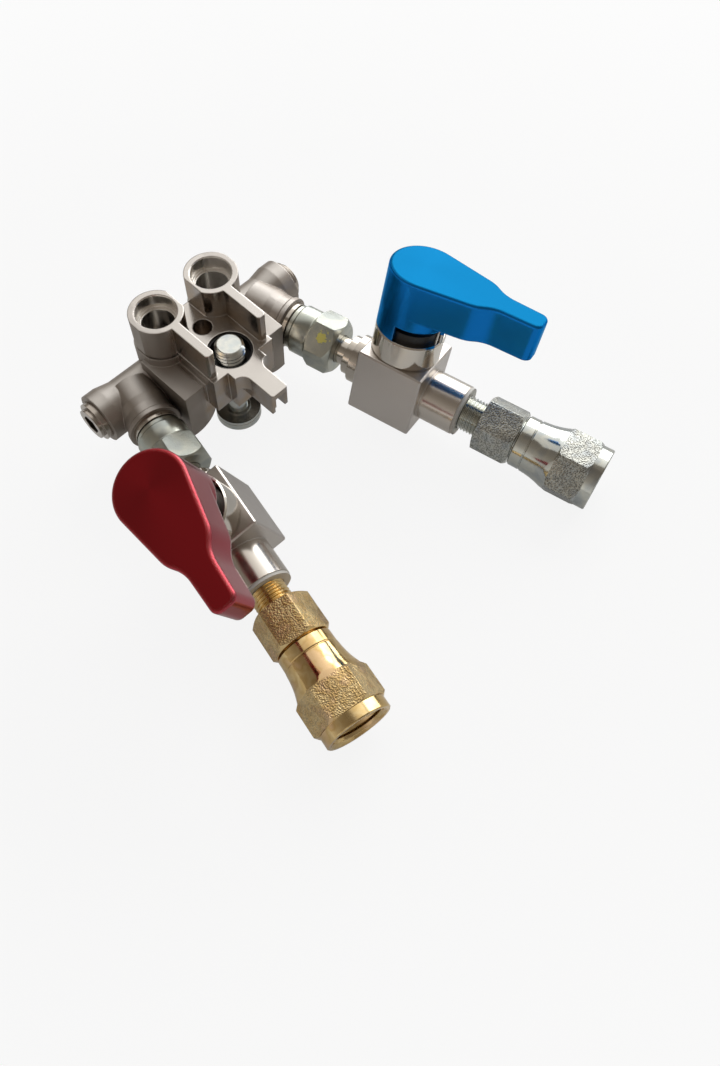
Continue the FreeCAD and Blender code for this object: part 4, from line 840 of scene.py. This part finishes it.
@dataclass
class Studio:
    """Camera, lamps, floor and backdrop, with angles in degrees and places in metres."""

    azimuth: float = -50.516
    elevation: float = 63.194
    roll: float = 4.561
    distance: float = 0.2073
    focal_pixels: float = 880.5
    target: tuple[float, float, float] = (-0.01496, -0.07175, 0.0)
    sensor: float = 36.0
    window: tuple[float, float, float] = (0.90, 0.26, 0.35)

    def camera(self) -> None:
        """Puts the camera where the photograph was taken from."""
        data = bpy.data.cameras.new("photo_camera")
        camera = bpy.data.objects.new("photo_camera", data)
        bpy.context.scene.collection.objects.link(camera)
        azimuth = math.radians(self.azimuth)
        elevation = math.radians(self.elevation)
        roll = math.radians(self.roll)
        level = Vector((math.sin(azimuth), -math.cos(azimuth), 0))
        back = level * math.cos(elevation) + Vector((0, 0, math.sin(elevation)))
        right = Vector((math.cos(azimuth), math.sin(azimuth), 0))
        up = back.cross(right)
        across = right * math.cos(roll) + up * math.sin(roll)
        above = up * math.cos(roll) - right * math.sin(roll)
        turn = Matrix((across, above, back)).transposed().to_4x4()
        camera.matrix_world = Matrix.Translation(Vector(self.target) + back * self.distance) @ turn
        data.sensor_width = self.sensor
        data.lens = self.focal_pixels * self.sensor / PHOTO_HEIGHT
        data.clip_start = 0.01
        bpy.context.scene.camera = camera

    def lamp(self, name: str, place: tuple[float, float, float], size: float, power: float) -> None:
        """Adds a square soft lamp that faces the object.

        Args:
            name: its name.
            place: where it hangs, in metres.
            size: its side, in metres.
            power: its power, in watts.
        """
        data = bpy.data.lights.new(name, "AREA")
        data.size = size
        data.energy = power
        lamp = bpy.data.objects.new(name, data)
        lamp.location = place
        aim = Vector(self.target) - Vector(place)
        lamp.rotation_euler = aim.to_track_quat("-Z", "Y").to_euler()
        bpy.context.scene.collection.objects.link(lamp)

    def backdrop(self) -> None:
        """White world for the camera, a bright far side and a darker near side for metal, and soft light."""
        world = bpy.data.worlds.new("studio_world")
        bpy.context.scene.world = world
        world.use_nodes = True
        tree = world.node_tree
        tree.nodes.clear()
        rays = node(tree, "ShaderNodeLightPath")
        way = node(tree, "ShaderNodeTexCoord").outputs["Generated"]
        towards = node(tree, "ShaderNodeVectorMath", {"operation": "DOT_PRODUCT"}, {
            0: way, 1: Vector(self.window).normalized()})
        share = node(tree, "ShaderNodeMapRange", {"clamp": True}, {
            "Value": towards.outputs["Value"], "From Min": -1.0, "From Max": 1.0})
        room = node(tree, "ShaderNodeValToRGB", {}, {"Fac": share.outputs[0]}, (
            (0.04, "#f4f1ec"), (0.2, "#b2aba3"), (0.38, "#90887f"), (0.6, "#7d756d"), (0.74, "#989189"),
            (0.84, "#ccc7c0"), (0.93, "#ffffff")))
        mirrored = node(tree, "ShaderNodeBackground", {}, {"Color": room.outputs["Color"], "Strength": 1.0})
        ambient = node(tree, "ShaderNodeBackground", {}, {"Color": (1, 1, 1, 1), "Strength": 0.16})
        white = node(tree, "ShaderNodeBackground", {}, {"Color": (1, 1, 1, 1), "Strength": 1.0})
        inner = node(tree, "ShaderNodeMixShader", {}, {
            0: rays.outputs["Is Glossy Ray"], 1: ambient.outputs[0], 2: mirrored.outputs[0]})
        seen = node(tree, "ShaderNodeMath", {"operation": "MAXIMUM"}, {
            0: rays.outputs["Is Camera Ray"], 1: rays.outputs["Is Transmission Ray"]})
        outer = node(tree, "ShaderNodeMixShader", {}, {
            0: seen.outputs[0], 1: inner.outputs[0], 2: white.outputs[0]})
        node(tree, "ShaderNodeOutputWorld", {}, {"Surface": outer.outputs[0]})

    def floor(self) -> None:
        """A pale floor under the bolt head and the two hose nuts, which carry the part."""
        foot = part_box("mount_bolt")
        nuts = [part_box("hose_nut_" + side.value) for side in Side]
        near = Vector((0, foot[0][1], foot[0][2]))
        far = Vector((0, min(nut[0][1] for nut in nuts), min(nut[0][2] for nut in nuts)))
        slope = (far.z - near.z) / (far.y - near.y)
        pick()
        bpy.ops.mesh.primitive_plane_add(size=6.0)
        floor = bpy.context.object
        floor.name = "studio_floor"
        floor.rotation_euler = Euler((math.atan(slope), 0, 0))
        floor.location = near
        floor.data.materials.append(StudioPaper().build())

    def build(self) -> None:
        """Sets up the whole studio."""
        bpy.context.scene.view_settings.view_transform = "Standard"
        self.camera()
        self.backdrop()
        self.floor()
        self.lamp("window_lamp", (1.0, 0.20, 0.40), 1.05, 9.5)
        self.lamp("sky_lamp", (0.40, 0.62, 0.98), 1.5, 4.6)
        log.info("studio built")


# Sub-assemblies

@dataclass
class ManifoldBlock:
    """The forged block with the plugs, seals and strainers in its arms."""

    def dress(self) -> None:
        """Gives each of its solids its finish."""
        dress("manifold_block", NickelForging().build(PART_FRAME))
        plug = TurnedMetal("turned_nickel_plug", colour="#aaa299", roughness=0.2).build(PART_FRAME)
        rubber = Moulded("nitrile_seal", colour="#151515", roughness=0.55).build(PART_FRAME)
        gauze = TurnedMetal("stainless_strainer", colour="#b9b9b6", roughness=0.25).build(PART_FRAME)
        for side in Side:
            dress("filter_plug_" + side.value, plug)
            dress("plug_oring_" + side.value, rubber)
            dress("filter_screen_" + side.value, gauze)


@dataclass
class CaptiveBolt:
    """Captive bolt: a threaded point, a thin shank and a disc head with a hexagon socket below."""

    point: float = 2.4
    point_radius: float = 3.1
    thread_radius: float = 4.0
    groove_radius: float = 3.4
    thread_end: float = -3.4
    pitch: float = 1.25
    ridge_middle: float = 3.42
    ridge_half_height: float = 0.72
    blank_radius: float = 3.2
    shank_radius: float = 2.8
    head_radius: float = 6.4
    head_top: float = -25.8
    foot: float = -28.6
    foot_radius: float = 5.9
    socket_flats: float = 5.0
    socket_depth: float = 2.2

    def build(self) -> None:
        """Models the bolt and dresses the washer and the retaining cup."""
        core = turned("bolt_core", [
            (self.foot, self.foot_radius - 0.3), (self.foot + 0.15, self.foot_radius),
            (self.foot + 0.6, self.head_radius), (self.head_top - 0.3, self.head_radius),
            (self.head_top, self.head_radius - 0.3), (self.head_top, self.shank_radius + 0.4),
            (self.head_top + 0.1, self.shank_radius + 0.15), (self.head_top + 0.4, self.shank_radius),
            (self.thread_end - 0.2, self.shank_radius), (self.thread_end, self.groove_radius),
            (self.point - 0.4, self.groove_radius), (self.point, self.point_radius)], hollow=False)
        corner = self.socket_flats / math.sqrt(3)
        socket = turned("socket_cutter", [
            (self.foot - 1, corner), (self.foot + self.socket_depth, corner)], sides=6, hollow=False)
        carve(core, socket, Cut.AWAY)
        ridge = thread_ridge("bolt_thread", self.thread_end - 0.6, self.point + 0.6, self.ridge_middle,
                             self.ridge_half_height, self.pitch)
        blank = turned("thread_blank", [
            (self.thread_end, self.blank_radius), (self.thread_end + 0.5, self.thread_radius),
            (self.point - 0.6, self.thread_radius),
            (self.point - 0.02, self.point_radius + 0.1)], hollow=False)
        carve(ridge, blank, Cut.DOWN_TO)
        zinc = ZincPlate("zinc_plated_bolt", roughness=0.22, edge=0.08).build(BOLT_FRAME)
        finish_piece("mount_bolt", [ridge, core], BOLT_FRAME, zinc, "fastening_bolt", "zinc_plated")
        dress("bolt_washer", zinc)
        cup = Moulded("black_retaining_cup", colour="#0e0e0f", roughness=0.42).build(BOLT_FRAME)
        dress("bolt_retainer", cup)


@dataclass
class UnionJoint:
    """Stub, seal and union nut that join a line to the block, and the inlet fitting that the nut pulls up."""

    side: Side
    flats: float = 14.5
    start: float = 14.8
    ring_radius: float = 6.35
    collar_radius: float = 7.0
    hexagon: float = 21.8
    end: float = 29.8
    rim_radius: float = 7.2
    face_radius: float = 6.8
    inside: float = 5.4
    hole: float = 4.06
    # turns of the blue and the red hexagon, in degrees
    turns: tuple[float, float] = (53.0, 20.0)
    # place of the dab of paint on the blue nut
    mark: tuple[float, float, float] = (26.2, -5.2, 5.1)

    def build(self) -> None:
        """Models the nut and dresses the rest."""
        here = line_frame(self.side)
        colour = self.side.value
        corner = self.flats / math.sqrt(3)
        nut = turned("union_nut_" + colour, [
            (self.start, self.inside), (self.start, self.ring_radius - 0.2),
            (self.start + 0.2, self.ring_radius), (self.start + 1.3, self.ring_radius),
            (self.start + 1.35, self.ring_radius + 0.25), (self.start + 1.8, self.collar_radius),
            (self.hexagon - 1.0, self.collar_radius), (self.hexagon - 0.8, self.collar_radius - 0.12),
            (self.hexagon - 0.4, self.collar_radius - 0.12), (self.hexagon - 0.2, self.collar_radius + 0.3),
            (self.hexagon + 0.75, corner), (self.end - 1.7, corner), (self.end - 0.3, self.rim_radius),
            (self.end, self.face_radius), (self.end, self.hole), (self.end - 2.3, self.hole),
            (self.end - 2.3, self.inside)])
        mill_hexagon(nut, self.flats, self.hexagon - 0.2, self.end + 1, self.side.of(self.turns))
        zinc = ZincPlate(
            "zinc_plated_union_nut_" + colour, tints=UNION_TINTS, flats=(self.hexagon, self.end - 0.4),
            speckle=0.1, crystal=0.04, depth=0.04, roughness=0.28,
            mark=self.side.of((self.mark, None))).build(here)
        finish_piece("union_nut_" + colour, [nut], here, zinc, "manifold", "zinc_plated")
        fitting = TurnedMetal("turned_inlet_fitting_" + colour, colour="#b7b0a6", roughness=0.15).build(here)
        dress("line_stub_" + colour, fitting)
        dress("valve_tail_" + colour, fitting)
        seal = Moulded("stub_seal_" + colour, colour="#151515", roughness=0.55).build(here)
        dress("stub_oring_" + colour, seal)


@dataclass
class BallValve:
    """One valve: its body, ball, seats, stem, bonnet, stops and lever handle."""

    side: Side

    def dress(self) -> None:
        """Gives each of its solids its finish."""
        here = line_frame(self.side)
        stem = stem_frame(self.side)
        colour = self.side.value
        about_stem = AxisFrame(stem.origin, stem.z, -stem.x)
        steel = TurnedMetal("stainless_steel_" + colour, colour="#c2c2bf", roughness=0.15).build(about_stem)
        black = Moulded("black_acetal_" + colour, colour="#101011", roughness=0.38).build(stem)
        white = Moulded("white_fluoropolymer_" + colour, colour="#e6e4de", roughness=0.45).build(here)
        bonnet = TurnedMetal("polished_bonnet_" + colour, colour="#d6d0c6", roughness=0.08,
                             pitch=0.3).build(about_stem)
        # each lever's top and wall colours are lit and shaded copies of one dye, painted light; its pale rim
        # colour is partly painted highlight
        if self.side is Side.BLUE:
            lever = Anodised("blue_anodised_aluminium", face="#0a567e", wall="#167ace", glance="#4bd3f3",
                             roughness=0.32).build(stem)
        else:
            lever = Anodised("red_anodised_aluminium", face="#9a121c", wall="#a8303e", worn_and_highlight_colour="#ffe4e0",
                             wear_and_highlight_share=1.0, film=0.35, roughness=0.28, edge=1.0).build(stem)
        rows = {
            "valve_body": NickelBody("nickel_plated_valve_body_" + colour).build(here), "inlet_seat": white,
            "outlet_seat": white, "valve_ball": steel, "valve_stem": steel, "stem_oring": black,
            "stem_bonnet": bonnet, "stem_ring": black, "stop_pins": steel, "handle": lever,
            "handle_screw": steel,
        }
        for name, material in rows.items():
            dress(name + "_" + colour, material)


@dataclass
class HoseEnd:
    """White ring, threaded adapter, retaining wire and swivel nut of one line."""

    side: Side
    # sizes of the adapter
    bore: float = 3.5
    groove_radius: float = 4.35
    # 28 turns to the inch
    thread_pitch: float = 0.907
    adapter_start: float = 61.5
    thread_start: float = 66.0
    ridge_middle: float = 4.33
    ridge_half_height: float = 0.52
    hexagon: float = 75.1
    hexagon_end: float = 85.9
    face_radii: tuple[float, float] = (6.75, 7.1)
    flats: float = 14.0
    neck_radius: float = 5.6
    wire: float = 91.8
    head: float = 98.9
    head_end: float = 101.1
    head_radius: float = 6.6
    nose: float = 103.7
    nose_radius: float = 4.5
    # sizes of the swivel nut
    nut_start: float = 86.3
    collar_end: float = 89.7
    collar_radius: float = 7.2
    barrel: tuple[tuple[float, float], ...] = (
        (91.5, 7.42), (93.2, 7.65), (94.8, 8.0), (96.2, 8.42), (97.0, 8.7), (97.5, 8.85))
    shoulder: float = 98.6
    thread_end: float = 104.1
    relief_radius: float = 7.2
    nut_hexagon: float = 97.6
    nut_hexagon_end: float = 106.7
    nut_end: float = 109.9
    nut_flats: float = 17.0
    lip_radius: float = 8.7
    mouth_radius: float = 6.95
    nut_pitch: float = 1.5
    nut_ridge_half_height: float = 0.55
    # turns of the blue and the red hexagons, in degrees
    adapter_turns: tuple[float, float] = (34.0, 50.0)
    nut_turns: tuple[float, float] = (11.0, 42.0)

    def zinc(self, name: str, **grain: object) -> ZincPlate:
        """Zinc plate in the tints of this line.

        Args:
            name: name of the fitting.
            grain: settings of the crystals on its hexagon.
        Returns:
            The finish.
        """
        return ZincPlate("zinc_plated_" + name, tints=self.side.of((SILVER_TINTS, GOLD_TINTS)), **grain)

    def adapter(self, here: AxisFrame) -> None:
        """Models the adapter: thread, hexagon, neck, head and cone.

        Args:
            here: the line's frame.
        """
        name = "hose_adapter_" + self.side.value
        corner = self.flats / math.sqrt(3)
        groove = self.neck_radius - 0.4
        core = turned("adapter_core", [
            (self.adapter_start, self.bore), (self.adapter_start, self.groove_radius),
            (self.hexagon, self.groove_radius), (self.hexagon, self.face_radii[0]),
            (self.hexagon + 0.5, corner), (self.hexagon_end - 0.8, corner),
            (self.hexagon_end, self.face_radii[1]), (self.hexagon_end, self.neck_radius),
            (self.wire - 0.45, self.neck_radius), (self.wire - 0.45, groove), (self.wire + 0.45, groove),
            (self.wire + 0.45, self.neck_radius), (self.head, self.neck_radius),
            (self.head, self.head_radius), (self.head_end, self.head_radius),
            (self.nose - 0.1, self.nose_radius + 0.2), (self.nose, self.nose_radius), (self.nose, self.bore)])
        turn = self.side.of(self.adapter_turns)
        mill_hexagon(core, self.flats, self.hexagon - 0.2, self.hexagon_end + 0.1, turn)
        ridge = thread_ridge("adapter_thread", self.thread_start, self.hexagon + 0.5, self.ridge_middle,
                             self.ridge_half_height, self.thread_pitch)
        zinc = self.zinc("adapter_" + self.side.value, flats=(self.hexagon, self.hexagon_end),
                         speckle=self.side.of((0.8, 0.45)), crystal=0.0)
        finish_piece(name, [ridge, core], here, zinc.build(here), "manifold", self.side.of(ZINC_SLOTS))

    def nut(self, here: AxisFrame) -> None:
        """Models the swivel nut: collar, rounded barrel, hexagon, lip and inner thread.

        Args:
            here: the line's frame.
        """
        name = "hose_nut_" + self.side.value
        corner = self.nut_flats / math.sqrt(3)
        hole = self.neck_radius + 0.08
        nut = turned("nut_shell", [
            (self.nut_start, hole), (self.nut_start, self.collar_radius - 0.35),
            (self.nut_start + 0.3, self.collar_radius - 0.05), (self.collar_end - 0.25, self.collar_radius),
            (self.collar_end - 0.1, self.collar_radius - 0.15),
            (self.collar_end + 0.1, self.collar_radius - 0.15),
            (self.collar_end + 0.3, self.collar_radius + 0.1), *self.barrel,
            (self.nut_hexagon + 0.7, corner), (self.nut_hexagon_end - 0.9, corner),
            (self.nut_hexagon_end, self.lip_radius + 0.25), (self.nut_hexagon_end, self.lip_radius),
            (self.nut_end - 0.25, self.lip_radius), (self.nut_end, self.lip_radius - 0.25),
            (self.nut_end, self.mouth_radius + 0.8), (self.nut_end - 0.75, self.mouth_radius),
            (self.thread_end, self.mouth_radius), (self.thread_end, self.relief_radius),
            (self.shoulder, self.relief_radius), (self.shoulder, hole), (self.wire + 0.5, hole),
            (self.wire + 0.5, hole + 0.4), (self.wire - 0.5, hole + 0.4), (self.wire - 0.5, hole)], sides=120)
        turn = self.side.of(self.nut_turns)
        mill_hexagon(nut, self.nut_flats, self.nut_hexagon - 1.2, self.nut_hexagon_end, turn)
        ridge = thread_ridge("nut_thread", self.thread_end + 0.8, self.nut_end - 0.9,
                             self.mouth_radius + 0.05, self.nut_ridge_half_height, self.nut_pitch)
        zinc = self.zinc(name, flats=(self.nut_hexagon, self.nut_hexagon_end), depth=0.1,
                         speckle=self.side.of((0.9, 0.45)), crystal=self.side.of((0.3, 0.0)))
        finish_piece(name, [ridge, nut], here, zinc.build(here), "swivel_nut_" + self.side.value,
                     self.side.of(ZINC_SLOTS))

    def build(self) -> None:
        """Models the adapter and the nut and dresses the rest."""
        here = line_frame(self.side)
        self.adapter(here)
        self.nut(here)
        white = Moulded("white_sealing_ring_" + self.side.value, colour="#dfdbd2", roughness=0.5)
        dress("outlet_seal_" + self.side.value, white.build(here))
        wire = TurnedMetal("spring_steel_wire_" + self.side.value, colour="#b4b4b0", roughness=0.2)
        dress("nut_wire_" + self.side.value, wire.build(here))


def main() -> None:
    """Builds the looks in order."""
    logging.basicConfig(level=logging.INFO)
    Studio().build()
    ManifoldBlock().dress()
    CaptiveBolt().build()
    for side in Side:
        UnionJoint(side).build()
        BallValve(side).dress()
        HoseEnd(side).build()


if __name__ == "__main__":
    main()
